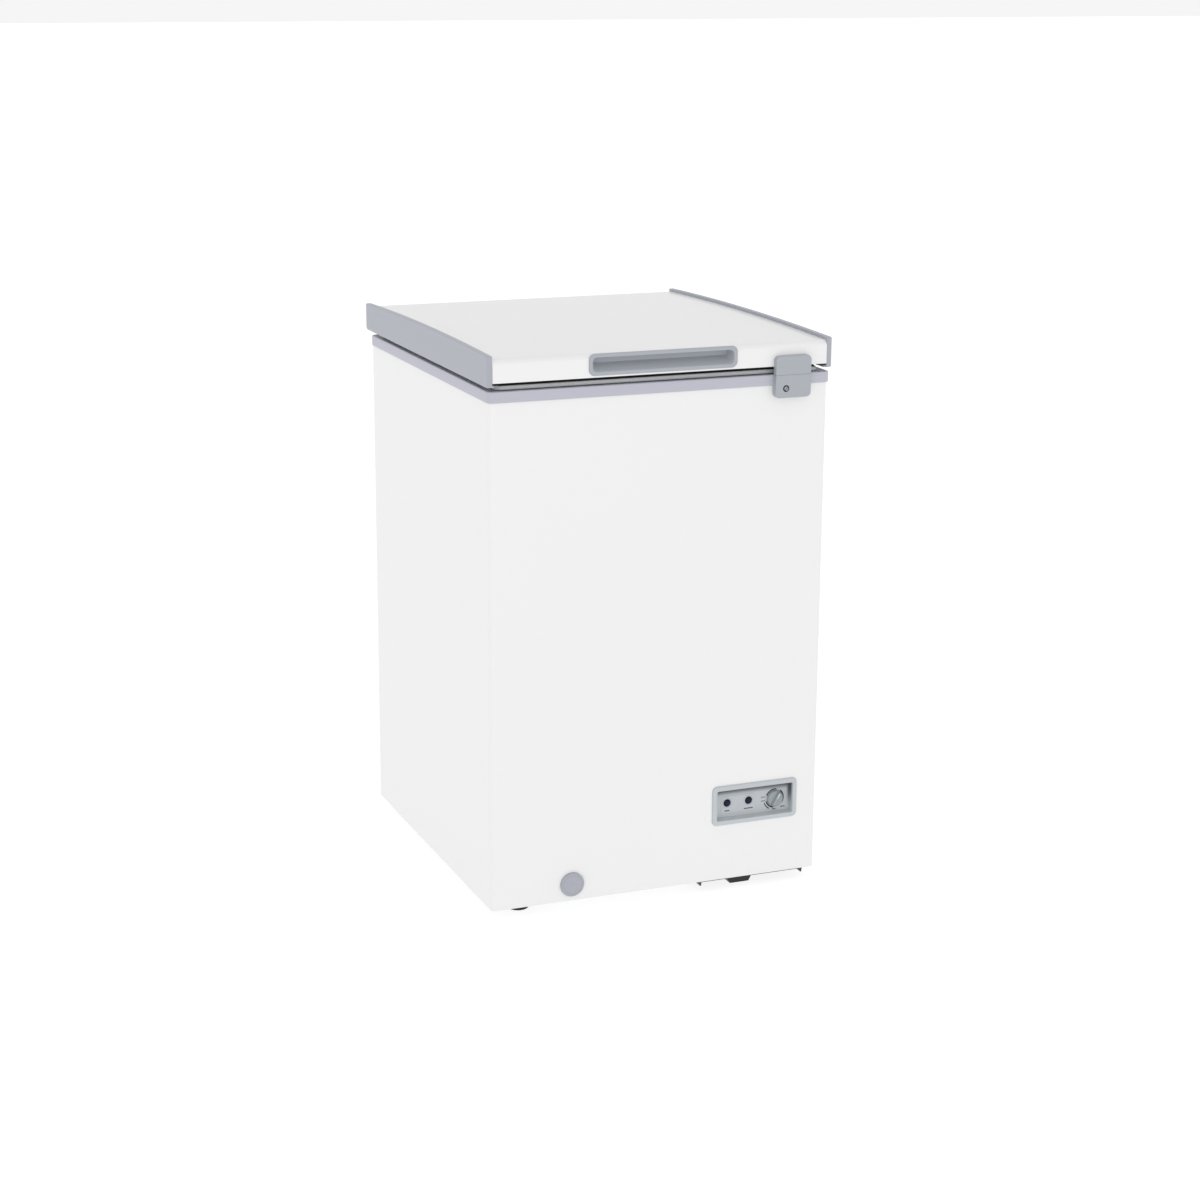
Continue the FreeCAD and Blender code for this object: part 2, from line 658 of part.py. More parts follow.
def compartment_bulkhead():
    """Bent sheet that walls the compressor compartment off from the foam."""
    body = new_body("compartment_bulkhead")
    t = d.sheet_t
    pad(body, "XZ", front + d.edge_r, back - t,
        Outline((comp_left, d.cab_low), (comp_left + t, d.cab_low), (comp_left + t, comp_top),
                (right - t, comp_top), (right - t, comp_top + t), (comp_left, comp_top + t)))


def stepped_tub(feature, body, grow, top):
    """Pads or pockets the stepped tub, grown outwards by grow, up to the level top."""
    y0, y1 = tub_y0 - grow, tub_y1 + grow
    feature(body, "XY", step_z - grow, top,
            RoundedRectangle(-tub_x - grow, tub_x + grow, y0, y1, d.liner_r + grow))
    feature(body, "XY", tub_low - grow, step_z,
            RoundedRectangle(-tub_x - grow, step_x + grow, y0, y1, d.liner_r / 2 + grow))


def cabinet_foam():
    """Insulation injected between the wrap and the liner."""
    body = new_body("cabinet_foam")
    t = d.sheet_t
    pad(body, "XY", d.cab_low + t, foam_top,
        RoundedRectangle(left + t, right - t, front + t, back - t, d.edge_r - t))
    stepped_tub(pocket, body, d.liner_t, foam_top)
    pocket(body, "XZ", front, back, rectangle(comp_left, right, d.cab_low, comp_top + t))
    outer = d.drain_r + d.drain_wall
    around = outer + d.part_gap
    pocket(body, "XZ", front, drain_y, Disc(drain_x, drain_z, outer))
    pocket(body, "XY", drain_z - around, tub_low, Disc(drain_x, drain_y, around))
    pocket(body, "XZ", back - d.hinge_screw_l - 1, back, *hinge_screw_discs(d.part_gap))


def inner_liner():
    """White tub with a step over the compressor and a rim flange."""
    body = new_body("inner_liner")
    t = d.liner_t
    stepped_tub(pad, body, t, foam_top)
    flange = d.wall_t / 2
    pad(body, "XY", foam_top, foam_top + t,
        RoundedRectangle(-tub_x - flange, tub_x + flange, tub_y0 - flange, tub_y1 + flange, d.liner_r))
    stepped_tub(pocket, body, as_size(0.0), foam_top + t)
    pocket(body, "XY", tub_low - t, tub_low, Disc(drain_x, drain_y, d.drain_r))


def collar_frame():
    """Grey plastic frame round the cabinet's mouth."""
    body = new_body("collar_frame")
    out = d.collar_out
    t = d.collar_t
    corner = d.edge_r + out
    pad(body, "XY", wrap_top, collar_top,
        RoundedRectangle(left - out, right + out, front - out, back + out, corner))
    gap = d.part_gap / 3
    pocket(body, "XY", wrap_top, wrap_top + d.collar_lap + gap,
           RoundedRectangle(left - gap, right + gap, front - gap, back + gap, d.edge_r + gap))
    sheet = d.sheet_t
    pocket(body, "XY", wrap_top, collar_top - t,
           rectangle(left + sheet, right - sheet, front + sheet, back - sheet))
    inner = RoundedRectangle(-tub_x, tub_x, tub_y0, tub_y1, d.liner_r)
    pocket(body, "XY", wrap_top, collar_top, inner)
    lip = d.part_gap
    low = collar_top - d.collar_skirt
    pad(body, "XY", low, collar_top, RoundedRectangle(
        lip - tub_x, tub_x - lip, tub_y0 + lip, tub_y1 - lip, d.liner_r - lip))
    pad(body, "XY", collar_top - t, collar_top, RoundedRectangle(
        -tub_x - 1, tub_x + 1, tub_y0 - 1, tub_y1 + 1, d.liner_r + 1))
    lip = lip + t
    pocket(body, "XY", low, collar_top, RoundedRectangle(
        lip - tub_x, tub_x - lip, tub_y0 + lip, tub_y1 - lip, d.liner_r - lip))


def compressor_tray():
    """Pressed steel tray under the compartment, with a foot at the front and at the back."""
    body = new_body("compressor_tray")
    t = d.tray_t
    x0, x1 = comp_left - d.tray_left, right - d.tray_right
    top, low = d.cab_low, d.cab_low - t
    y0, y1 = front + t, back - t
    pad(body, "XY", low, top, rectangle(x0, x1, y0, y1))
    pad(body, "XY", top - d.tray_flange, top, rectangle(x0, x0 + t, y0, y1), rectangle(x1 - t, x1, y0, y1))
    middle = right - d.press_in
    wide, narrow = d.press_w / 2, d.press_low / 2
    for y in (front + d.press_y, back - d.press_y - d.press_d):
        pad(body, "XZ", y, y + d.press_d,
            Outline((middle - wide, low), (middle - narrow, 0), (middle + narrow, 0), (middle + wide, low)))
        pocket(body, "XZ", y + t, y + d.press_d - t,
               Outline((middle - wide + t, top), (middle - narrow + t, t),
                       (middle + narrow - t, t), (middle + wide - t, top)))
    pocket(body, "XY", low, top, *compressor_bolt_discs(d.screw_r + d.part_gap))


def rubber_feet():
    """Two round feet under the insulated side."""
    body = new_body("rubber_feet")
    x = left + d.foot_in_x
    for y in (front + d.foot_in_y, back - d.foot_in_y):
        pad(body, "XY", 0, d.foot_step, Disc(x, y, d.foot_r - d.foot_tread))
        pad(body, "XY", d.foot_step, d.cab_low, Disc(x, y, d.foot_r))


# ---------------------------------------------------------------- cooling
def compressor_centre():
    """Returns x and y of the compressor's axis."""
    return (comp_left + right - d.sheet_t) / 2, back - d.comp_back


def compressor_bolt_discs(radius):
    """Returns four circles at the compressor's mounting bolts."""
    x, y = compressor_centre()
    return [Disc(x + d.mount_x * i, y + d.mount_y * j, radius) for i in (-1, 1) for j in (-1, 1)]


# The compressor shell's outline as inset and height pairs: its bowl, its weld seam, and its cap
# measured down from the top.
SHELL_BOWL = [(20, 0), (6, 7), (0, 20), (0, 68)]
SHELL_SEAM = [(-3, 68), (-3, 74), (0, 74)]
SHELL_CAP = [(0, 34), (8, 14), (26, 3), (45, 0)]


def compressor():
    """Hermetic shell on its foot plate, standing on four rubber grommets."""
    x, y = compressor_centre()
    plate_z = d.cab_low + d.grommet_z
    t = d.foot_plate_t
    foot = new_body("compressor_foot_plate")
    half_x, half_y = d.mount_x + d.foot_plate_out, d.mount_y + d.foot_plate_out
    pad(foot, "XY", plate_z, plate_z + t,
        RoundedRectangle(x - half_x, x + half_x, y - half_y, y + half_y, d.foot_plate_r))
    pocket(foot, "XY", plate_z, plate_z + t, *compressor_bolt_discs(d.screw_r + d.part_gap))
    shell = new_body("compressor_shell")
    r, tall = d.comp_r, d.comp_shell_z
    wall = [(r - inset, z) for inset, z in SHELL_BOWL + SHELL_SEAM]
    wall += [(r - inset, tall - below) for inset, below in SHELL_CAP]
    revolve(shell, (0, 0), *wall, (0, tall))
    place(shell, x, y, plate_z + t)
    grommets = new_body("compressor_grommets")
    pad(grommets, "XY", d.cab_low, plate_z, *compressor_bolt_discs(d.grommet_r))
    pocket(grommets, "XY", d.cab_low, plate_z, *compressor_bolt_discs(d.screw_r + d.part_gap))
    bolts = new_body("compressor_bolts")
    low = d.cab_low - d.tray_t
    top = plate_z + t
    pad(bolts, "XY", low - d.bolt_end, low, *compressor_bolt_discs(d.head_r))
    pad(bolts, "XY", low, top, *compressor_bolt_discs(d.screw_r))
    pad(bolts, "XY", top, top + d.bolt_head_t, *compressor_bolt_discs(d.head_r))


def start_relay_cover():
    """Plastic box over the compressor's terminals."""
    x, y = compressor_centre()
    body = new_body("start_relay_cover")
    z = d.cab_low + d.grommet_z + d.relay_up
    y1 = y - d.comp_r - d.port_gap
    half = d.relay_w / 2
    pad(body, "XY", z, z + d.relay_z,
        RoundedRectangle(x - half, x + half, y1 - d.relay_d, y1, d.relay_r))


def filter_drier():
    """Copper cartridge in the liquid line."""
    body = new_body("filter_drier")
    r, neck_r, long = d.drier_r, d.drier_neck_r, d.drier_l
    neck = d.drier_neck
    full = neck + d.drier_taper
    revolve(body, (0, 0), (neck_r, 0), (neck_r, neck), (r, full), (r, long - full), (neck_r, long - neck),
            (neck_r, long), (0, long))
    x, y = compressor_centre()
    place(body, x - d.drier_x, y - d.comp_r - d.drier_y, comp_top - d.drier_down, FACING_FRONT)


def refrigerant_lines():
    """Suction and discharge tubes between the compressor and the foam."""
    x, y = compressor_centre()
    base = d.cab_low + d.grommet_z
    high = comp_top - d.part_gap
    near = d.comp_r + d.port_gap
    side, ahead, level = x + d.suction_x, y - near, base + d.suction_up
    turn = ahead - d.suction_out
    suction = [point(side, ahead, level), point(side, turn, level), point(side, turn, high)]
    start, level = x - near, base + d.discharge_up
    turn = start - d.discharge_out
    discharge = [point(start, y, level), point(turn, y, level), point(turn, y, high)]
    bend = d.line_bend.number
    set_shape("suction_tube", bent_tube(suction, bend, d.suction_r.number))
    set_shape("discharge_tube", bent_tube(discharge, bend, d.discharge_r.number))


def evaporator_tube():
    """Tube wound to and fro on the left, front and right of the tub, inside the foam."""
    r = d.coil_r
    off = d.liner_t + r + d.coil_clear
    x, y0, y1 = tub_x + off, tub_y0 - off, tub_y1 - d.coil_end
    levels = [step_z + d.coil_up + d.coil_pitch * i for i in range(int(d.coil_rows.number))]
    route = []
    for i, z in enumerate(levels):
        loop = [point(-x, y1, z), point(-x, y0, z), point(x, y0, z), point(x, y1, z)]
        route += loop if i % 2 == 0 else loop[::-1]
    bend = (d.liner_r + off).number
    set_shape("evaporator_tube", bent_tube(route, bend, r.number))


def condenser_tube():
    """Serpentine bonded to the inside of the left painted wall."""
    r = d.cond_r
    x = left + d.sheet_t + r + d.cond_clear
    y0, y1 = front + d.cond_in, back - d.cond_in
    route = []
    for i in range(int(d.cond_rows.number)):
        z = d.cab_low + d.cond_up + d.cond_pitch * i
        run = [point(x, y0, z), point(x, y1, z)]
        route += run if i % 2 == 0 else run[::-1]
    set_shape("condenser_tube", bent_tube(route, d.cond_bend.number, r.number))


def rear_grille():
    """Slotted cover behind the compressor, with the supply cord's inlet."""
    body = new_body("rear_grille")
    x0, x1 = comp_left + d.grille_lap, right - d.grille_lap
    z0, z1 = d.cab_low + d.grille_up, comp_top - d.grille_lap
    pad(body, "XZ", back, back + d.grille_t, rectangle(x0, x1, z0, z1))
    slots = []
    slot_r = d.slot_z / 2 - 0.1
    for i in range(int(d.slot_rows.number)):
        z = z0 + d.slot_up + d.slot_pitch * i
        slots.append(RoundedRectangle(x0 + d.slot_in, x1 - d.slot_in, z, z + d.slot_z, slot_r))
    gland_x, gland_z = x0 + d.gland_in, z0 + d.gland_up
    pocket(body, "XZ", back, back + d.grille_t, *slots, Disc(gland_x, gland_z, d.gland_r),
           *[Disc(x, z, d.screw_r + d.part_gap) for x, z in grille_screw_places()])
    gland = new_body("cord_gland")
    seat_r, seat, long = d.gland_r - d.part_gap, d.grille_t + 0.2, d.gland_z
    inside = -(d.grille_t * 3)
    revolve(gland, (d.cable_r, inside), (seat_r, inside), (seat_r, seat), (d.gland_flange_r, seat),
            (d.gland_flange_r, seat + 2.8), (d.gland_nose_r, long), (d.cable_r, long))
    place(gland, gland_x, back, gland_z, Rotation(Vector(1, 0, 0), -90))
    screws = new_body("grille_screws")
    places = grille_screw_places()
    pad(screws, "XZ", back - d.sheet_t, back + d.grille_t, *[Disc(x, z, d.screw_r) for x, z in places])
    face = back + d.grille_t
    pad(screws, "XZ", face, face + d.head_t, *[Disc(x, z, d.head_r) for x, z in places])


def grille_screw_places():
    """Returns x and z of the four grille screws, in the lap on the rear panel's opening."""
    inset = d.grille_lap * 2 + d.grille_screw_in
    x0, x1 = comp_left + inset, right - inset
    z0, z1 = d.cab_low + d.grille_lap + d.grille_screw_in, comp_top - inset
    return [(x, z) for x in (x0, x1) for z in (z0, z1)]


# ---------------------------------------------------------------- drain
def drain():
    """Drain tube through the foam, its front cap and the bung in the tub floor."""
    tube = new_body("drain_tube")
    outer = d.drain_r + d.drain_wall
    pad(tube, "XY", drain_z - outer, tub_low - d.liner_t, Disc(drain_x, drain_y, outer))
    pad(tube, "XZ", front, drain_y, Disc(drain_x, drain_z, outer))
    pocket(tube, "XY", drain_z - d.drain_r, tub_low, Disc(drain_x, drain_y, d.drain_r))
    pocket(tube, "XZ", front - 1, drain_y, Disc(drain_x, drain_z, d.drain_r))
    cap = new_body("drain_cap")
    stem = d.drain_r - d.part_gap
    r, t, gap = d.cap_r, d.cap_t, d.part_gap / 3
    revolve(cap, (0, -d.cap_stem), (stem, -d.cap_stem), (stem, gap), (r, gap), (r, t - d.cap_edge),
            (r - d.cap_edge, t), (0, t))
    place(cap, drain_x, front, drain_z, FACING_FRONT)
    bung = new_body("drain_bung")
    r, grip_r, deep = d.drain_r + d.bung_out, d.bung_grip_r, -d.bung_stem
    revolve(bung, (0, deep), (stem - 1, deep), (stem, deep + d.bung_taper), (stem, gap), (r, gap),
            (r, d.bung_t), (grip_r, d.bung_t * 1.5), (grip_r, d.bung_grip_z), (0, d.bung_grip_z))
    place(bung, drain_x, drain_y, tub_low)


# ---------------------------------------------------------------- controls
def control_bezel():
    """Grey insert with a sunken floor for the lamps and the thermostat dial."""
    body = new_body("control_bezel")
    floor = front + d.bezel_deep
    pad(body, "XZ", front - d.bezel_proud, front,
        RoundedRectangle(bezel_x0, bezel_x1, bezel_z0, bezel_z1, d.bezel_r))
    outer = d.bezel_rim - d.insert_t
    pad(body, "XZ", front, floor + d.insert_t,
        rectangle(bezel_x0 + outer, bezel_x1 - outer, bezel_z0 + outer, bezel_z1 - outer))
    rim = d.bezel_rim
    pocket(body, "XZ", front - d.bezel_proud, floor, RoundedRectangle(
        bezel_x0 + rim, bezel_x1 - rim, bezel_z0 + rim, bezel_z1 - rim, 2.0))
    lamps = [Disc(x, d.bezel_mid, d.lamp_r + 0.1) for x in lamp_places()]
    pocket(body, "XZ", floor, floor + d.insert_t, *lamps, Disc(knob_x, knob_axis_z, d.shaft_r + 1))


def lamp_places():
    """Returns the X of both indicator lamps."""
    return bezel_x0 + d.lamp_left, bezel_x0 + d.lamp_left + d.lamp_pitch


def indicator_lamps():
    """Two coloured lenses, each on its own holder."""
    floor = front + d.bezel_deep
    for label, x in zip(("lamp_lens_left", "lamp_lens_right"), lamp_places()):
        body = new_body(label)
        r, tail, rise = d.lamp_r, -d.lamp_tail, d.lamp_rise
        revolve(body, (0, tail), (d.lamp_tail_r, tail), (r, -r / 2), (r, r / 6), (r * 0.75, rise - r / 10),
                (r / 3, rise), (0, rise))
        place(body, x, floor, d.bezel_mid, FACING_FRONT)


def thermostat():
    """Thermostat behind the dial, its shaft and the knob with a bar grip."""
    floor = front + d.bezel_deep
    case = new_body("thermostat_body")
    start = floor + d.insert_t + d.part_gap
    pad(case, "XZ", start, start + d.stat_d,
        rectangle(knob_x - d.stat_half, knob_x + d.stat_half, knob_axis_z - d.stat_down,
                  knob_axis_z + d.stat_up))
    pocket(case, "XZ", start, start + d.shaft_in + 1,
           Disc(knob_x, knob_axis_z, d.shaft_r + d.run_fit))
    shaft = new_body("thermostat_shaft")
    bore = d.knob_bore
    pad(shaft, "XZ", floor - bore + 0.2, start + d.shaft_in, Disc(knob_x, knob_axis_z, d.shaft_r))
    knob = new_body("thermostat_knob")
    r, tall = d.knob_r, d.knob_z
    base = d.part_gap * 2
    disc_z = bore + 1
    revolve(knob, (d.shaft_r, base), (r, base), (r, d.knob_skirt), (r - 1.2, disc_z), (0, disc_z), (0, bore),
            (d.shaft_r, bore))
    reach = r - d.grip_short
    pad(knob, "XY", disc_z, tall, rectangle(-d.grip_half, d.grip_half, -reach, reach))
    place(knob, knob_x, floor, knob_axis_z, FACING_FRONT * Rotation(Vector(0, 0, 1), -30))


# ---------------------------------------------------------------- lock
def lock():
    """Keyed lock: housing on the cabinet, catch on the lid, barrel and cam."""
    split = collar_top - 0.2
    housing = new_body("lock_housing")
    pad(housing, "XZ", lock_y, front,
        RoundedRectangle(lock_x0, lock_x1, lock_z0, split + d.lock_r, d.lock_r))
    pocket(housing, "XZ", lock_y, front, rectangle(lock_x0, lock_x1, split, split + d.lock_r))
    over = d.collar_out + d.part_gap / 3
    pocket(housing, "XZ", front - over, front, rectangle(lock_x0, lock_x1, wrap_top - 0.1, split))
    x0, x1 = key_x - d.cam_w, lock_x1 - d.lock_wall * 2
    y0, y1 = lock_y + d.lock_wall, front - over - 1.2
    pocket(housing, "XY", lock_z0 + d.lock_wall, split, rectangle(x0, x1, y0, y1))
    pocket(housing, "XZ", lock_y, y0, Disc(key_x, key_z, d.key_r + d.run_fit))

    barrel = new_body("lock_barrel")
    pad(barrel, "XZ", lock_y - d.key_proud, cam_y, Disc(key_x, key_z, d.key_r))
    far = d.slot_half
    near = far - d.slot_edge
    pocket(barrel, "XZ", lock_y - d.key_proud, lock_y + d.slot_deep,
           Outline((key_x - far, key_z - near), (key_x - near, key_z - far),
                   (key_x + far, key_z + near), (key_x + near, key_z + far)))
    cam = new_body("lock_cam")
    half = d.cam_w / 2
    pad(cam, "XZ", cam_y, cam_y + d.cam_t,
        rectangle(key_x - half, key_x + half, key_z - half, key_z + d.cam_reach))

    catch = new_body("lock_catch")
    low = split + d.part_gap
    high = collar_top + d.lock_up_z
    pad(catch, "XZ", lock_y, lid_y0,
        RoundedRectangle(lock_x0, lock_x1, low - d.lock_r, high, d.lock_r))
    pocket(catch, "XZ", lock_y, lid_y0, rectangle(lock_x0, lock_x1, low - d.lock_r, low))
    stem = key_x + d.cam_reach + d.tongue_t + 0.2
    tip = x1 - 0.8
    hook = key_z - half - 2
    low_hook = hook - d.tongue_drop
    near = key_x + half + 3
    mid = cam_y + d.cam_t / 2
    pad(catch, "XZ", mid - d.tongue_t / 2, mid + d.tongue_t / 2,
        Outline((tip, low), (tip, low_hook), (near, low_hook), (near, hook), (stem, hook), (stem, low)))


# ---------------------------------------------------------------- lid
def lid_outer_panel():
    """White painted lid skin, arched front to back and open at the sides."""
    body = new_body("lid_outer_panel")
    x = lid_x - 0.2
    pad(body, "YZ", -x, x, LidProfile(lid_low, white_peak, d.panel_r))
    pocket(body, "YZ", -x, x, LidProfile(lid_low - 0.5, white_peak, d.panel_r, d.panel_t))
    rim = d.handle_rim - d.insert_t - 0.2
    pocket(body, "XZ", lid_y0 - 1, lid_y0 + d.panel_r, rectangle(
        rim - handle_x, handle_x - rim, handle_z0 + rim, handle_z1 - rim))


def lid_side_covers():
    """Grey end caps of the lid, hollow inside, with a lip below."""
    for side, label in ((-1, "lid_cover_left"), (1, "lid_cover_right")):
        body = new_body(label)
        outer, inner = lid_x + d.cover_t, lid_x
        low = lid_low - d.cover_drop
        wall = d.cover_wall
        lip_x = inner - d.cover_lip
        spans = [(inner, outer), (inner, outer - wall), (lip_x, inner)]
        spans = [(a, b) if side > 0 else (-b, -a) for a, b in spans]
        pad(body, "YZ", *spans[0], LidProfile(low, peak, d.cover_r))
        pocket(body, "YZ", *spans[1], LidProfile(low + wall, peak, d.cover_r, wall))
        pad(body, "YZ", *spans[2], rectangle(lid_y0 + wall, lid_y1 - wall, low, low + wall))


def lid_foam():
    """Insulation that fills the lid."""
    body = new_body("lid_foam")
    x = lid_x - 0.2
    base = lid_low + d.inner_t
    pad(body, "YZ", -x, x, LidProfile(base, white_peak, d.panel_r, d.panel_t))
    dome_x, dome_y0, dome_y1 = dome_sides(d.inner_t)
    low = lid_low - d.dome_z + d.inner_t
    pad(body, "XY", low, base, RoundedRectangle(-dome_x, dome_x, dome_y0, dome_y1, d.liner_r - d.inner_t))
    rim = d.handle_rim - d.insert_t
    pocket(body, "XZ", lid_y0, lid_y0 + d.handle_deep + d.insert_t, rectangle(
        rim - handle_x, handle_x - rim, base, handle_z1 - rim))
    pocket(body, "XY", lid_low, lid_low + d.hinge_screw_l + 1, *leaf_screw_discs(d.screw_r + d.part_gap))


def dome_sides(inset):
    """Returns half the dome's width and its front and back, moved in by inset."""
    gap = d.dome_gap + inset
    return tub_x - gap, tub_y0 + gap, tub_y1 - gap


def lid_inner_panel():
    """White formed panel under the lid, with a shallow dome that fits in the tub."""
    body = new_body("lid_inner_panel")
    x = lid_x - 0.2
    top = lid_low + d.inner_t
    pad(body, "XY", lid_low, top, rectangle(-x, x, lid_y0 + d.panel_t, lid_y1 - d.panel_t))
    dome_x, dome_y0, dome_y1 = dome_sides(as_size(0.0))
    low = lid_low - d.dome_z
    pad(body, "XY", low, lid_low, RoundedRectangle(-dome_x, dome_x, dome_y0, dome_y1, d.liner_r))
    dome_x, dome_y0, dome_y1 = dome_sides(d.inner_t)
    pocket(body, "XY", low + d.inner_t, top,
           RoundedRectangle(-dome_x, dome_x, dome_y0, dome_y1, d.liner_r - d.inner_t))
    pocket(body, "XY", lid_low, top, *leaf_screw_discs(d.screw_r + d.part_gap))


def lid_gasket():
    """Hollow-looking magnetic seal: a wide bulb on the collar and a narrower neck."""
    body = new_body("lid_gasket")
    x = right + d.collar_out - d.seal_in
    y0, y1 = front - d.collar_out + d.seal_in_y, back + d.collar_out - d.seal_in_y
    low = collar_top + d.seal_clear
    bulb_top = low + d.seal_bulb
    pad(body, "XY", low, bulb_top, RoundedRectangle(-x, x, y0, y1, 12.0))
    neck = (d.seal_w - d.seal_neck) / 2
    pad(body, "XY", bulb_top, lid_low,
        RoundedRectangle(neck - x, x - neck, y0 + neck, y1 - neck, as_size(12.0) - neck))
    w = d.seal_w
    pocket(body, "XY", low, bulb_top, RoundedRectangle(w - x, x - w, y0 + w, y1 - w, 3.0))
    w = w - neck
    pocket(body, "XY", bulb_top, lid_low, RoundedRectangle(w - x, x - w, y0 + w, y1 - w, 3.0))


def handle_insert():
    """Grey handle moulding with a finger pocket whose floor slopes out."""
    body = new_body("handle_insert")
    rim = d.handle_rim
    pad(body, "XZ", lid_y0 - d.handle_proud, lid_y0,
        RoundedRectangle(-handle_x, handle_x, handle_z0, handle_z1, d.handle_r))
    t = d.insert_t
    out = rim - t
    deep = lid_y0 + d.handle_deep
    z0, z1 = handle_z0 + rim, handle_z1 - rim
    rise = (z1 - z0) / 2
    pad(body, "YZ", out - handle_x, handle_x - out,
        Outline((lid_y0, z0 - t), (deep + t, z0 + rise - t), (deep + t, z1 + t), (lid_y0, z1 + t)))
    face = lid_y0 - d.handle_proud - 0.5
    pocket(body, "YZ", rim - handle_x, handle_x - rim,
           Outline((face, z0), (lid_y0, z0), (deep, z0 + rise), (deep, z1), (face, z1)))


# ---------------------------------------------------------------- hinges
def hinges():
    """Two sprung hinges: base, leaf, pin and coil spring each."""
    for side, name in ((-1, "left"), (1, "right")):
        middle = d.hinge_x * side
        hinge_base(f"hinge_base_{name}", middle)
        hinge_leaf(f"hinge_leaf_{name}", middle)
        hinge_pin(f"hinge_pin_{name}", middle)
        hinge_spring(f"hinge_spring_{name}", middle)
    plate = back + d.hinge_plate_t
    screws = new_body("hinge_base_screws")
    pad(screws, "XZ", back - d.hinge_screw_l, plate, *hinge_screw_discs(0.0))
    heads = hinge_screw_discs(d.head_r - d.screw_r)
    pad(screws, "XZ", plate, plate + d.head_t, *heads)
    leaf_screws = new_body("hinge_leaf_screws")
    low = lid_low - d.hinge_plate_t
    pad(leaf_screws, "XY", low, lid_low + d.hinge_screw_l, *leaf_screw_discs(d.screw_r))
    pad(leaf_screws, "XY", low - d.leaf_head_t, low, *leaf_screw_discs(d.head_r - 1))


def hinge_base(label, middle):
    """Plate on the rear panel with two ears that carry the pin."""
    body = new_body(label)
    half, r = d.hinge_half, d.hinge_r
    foot = back + d.hinge_plate_t
    low = wrap_top - d.hinge_plate_z
    top = wrap_top - 1
    pad(body, "XZ", back, foot, rectangle(middle - half, middle + half, low, top))
    near = hinge_y - r
    ear = Outline((back, low + d.gusset_low), (back, top), (near, top), (near, hinge_z),
                  (hinge_y + r, hinge_z), (hinge_y + r, hinge_z - d.gusset_drop))
    eye = Disc(hinge_y, hinge_z, r)
    spans = [(middle - half, middle - half + d.ear_t), (middle + half - d.ear_t, middle + half)]
    for x0, x1 in spans:
        pad(body, "YZ", x0, x1, ear)
        pad(body, "YZ", x0, x1, eye)
    pocket(body, "YZ", middle - half, middle + half, Disc(hinge_y, hinge_z, d.pin_r + d.run_fit))
    discs = [disc for disc in hinge_screw_discs(d.part_gap)
             if abs(disc.x.number - middle.number) < half.number]
    pocket(body, "XZ", back, foot, *discs)


def leaf_places(middle):
    """Returns the x and y of the three screws of one hinge leaf."""
    return [(middle + d.leaf_screw_x * step, leaf_front + d.leaf_screw_y) for step in (-1, 0, 1)]


def leaf_screw_discs(radius):
    """Returns the circles of both leaves' screws, seen from below."""
    places = leaf_places(-d.hinge_x) + leaf_places(d.hinge_x)
    return [Disc(x, y, radius) for x, y in places]


def hinge_leaf(label, middle):
    """Plate under the lid with two knuckles on the pin."""
    body = new_body(label)
    inner = d.hinge_half - d.ear_t - d.part_gap
    t = d.hinge_plate_t
    low = lid_low - t
    pad(body, "XY", low, lid_low,
        rectangle(middle - inner, middle + inner, leaf_front, lid_y1 - d.panel_t * 3))
    r = d.pin_r + d.knuckle_t
    x0, x1 = middle - inner, middle + inner
    for x0, x1 in ((x0, x0 + d.knuckle_w), (x1 - d.knuckle_w, x1)):
        pad(body, "YZ", x0, x1, rectangle(hinge_y - r, hinge_y + r, hinge_z, low))
        pad(body, "YZ", x0, x1, Disc(hinge_y, hinge_z, r))
    pocket(body, "YZ", middle - inner, middle + inner, Disc(hinge_y, hinge_z, d.pin_r + d.run_fit))
    discs = [Disc(x, y, d.screw_r + d.part_gap) for x, y in leaf_places(middle)]
    pocket(body, "XY", lid_low - t, lid_low, *discs)


def hinge_pin(label, middle):
    """Headed pin through the ears and knuckles."""
    body = new_body(label)
    end, out = middle + d.hinge_half, d.pin_out
    pad(body, "YZ", middle - d.hinge_half - out, end + out, Disc(hinge_y, hinge_z, d.pin_r))
    pad(body, "YZ", end + 0.2, end + 0.2 + out, Disc(hinge_y, hinge_z, d.pin_r + out))


def hinge_spring(label, middle):
    """Close-wound spring on the pin, as a ribbed sleeve of the coil's outer shape."""
    body = new_body(label)
    inner = d.pin_r + 0.5
    wire = d.spring_wire
    outer = inner + wire
    corners = [(inner, 0)]
    turns = int(d.spring_turns.number)
    for i in range(turns):
        corners += [(outer - wire * 0.3, wire * i), (outer, wire * (i + 0.5))]
    corners += [(outer - wire * 0.3, wire * turns), (inner, wire * turns)]
    revolve(body, *corners)
    place(body, middle - wire * turns / 2, hinge_y, hinge_z, Rotation(Vector(0, 1, 0), 90))


# ---------------------------------------------------------------- basket
def wire(start, end, radius):
    """Returns a straight round wire between two points."""
    return Part.makeCylinder(radius, (end - start).Length, start, end - start)


def wire_ring(x0, x1, y0, y1, z, corner, radius):
    """Returns a closed level wire with rounded corners."""
    turns = [(x1, y0, -1, 1), (x1, y1, -1, -1), (x0, y1, 1, -1), (x0, y0, 1, 1)]
    arcs = []
    for i, (x, y, to_x, to_y) in enumerate(turns):
        centre = Vector(x + to_x * corner, y + to_y * corner, z)
        angles = [math.pi / 2 * (i + share) for share in (-1, -0.5, 0)]
        arcs.append([centre + Vector(math.cos(a), math.sin(a), 0) * corner for a in angles])
    edges = []
    for arc, following in zip(arcs, arcs[1:] + arcs[:1]):
        edges.append(Part.Arc(*arc).toShape())
        edges.append(Part.LineSegment(arc[2], following[0]).toShape())
    start = arcs[0][0]
    section = Part.Wire(Part.Circle(start, Vector(1, 0, 0), radius).toShape())
    return Part.Wire(edges).makePipeShell([section], True, False)


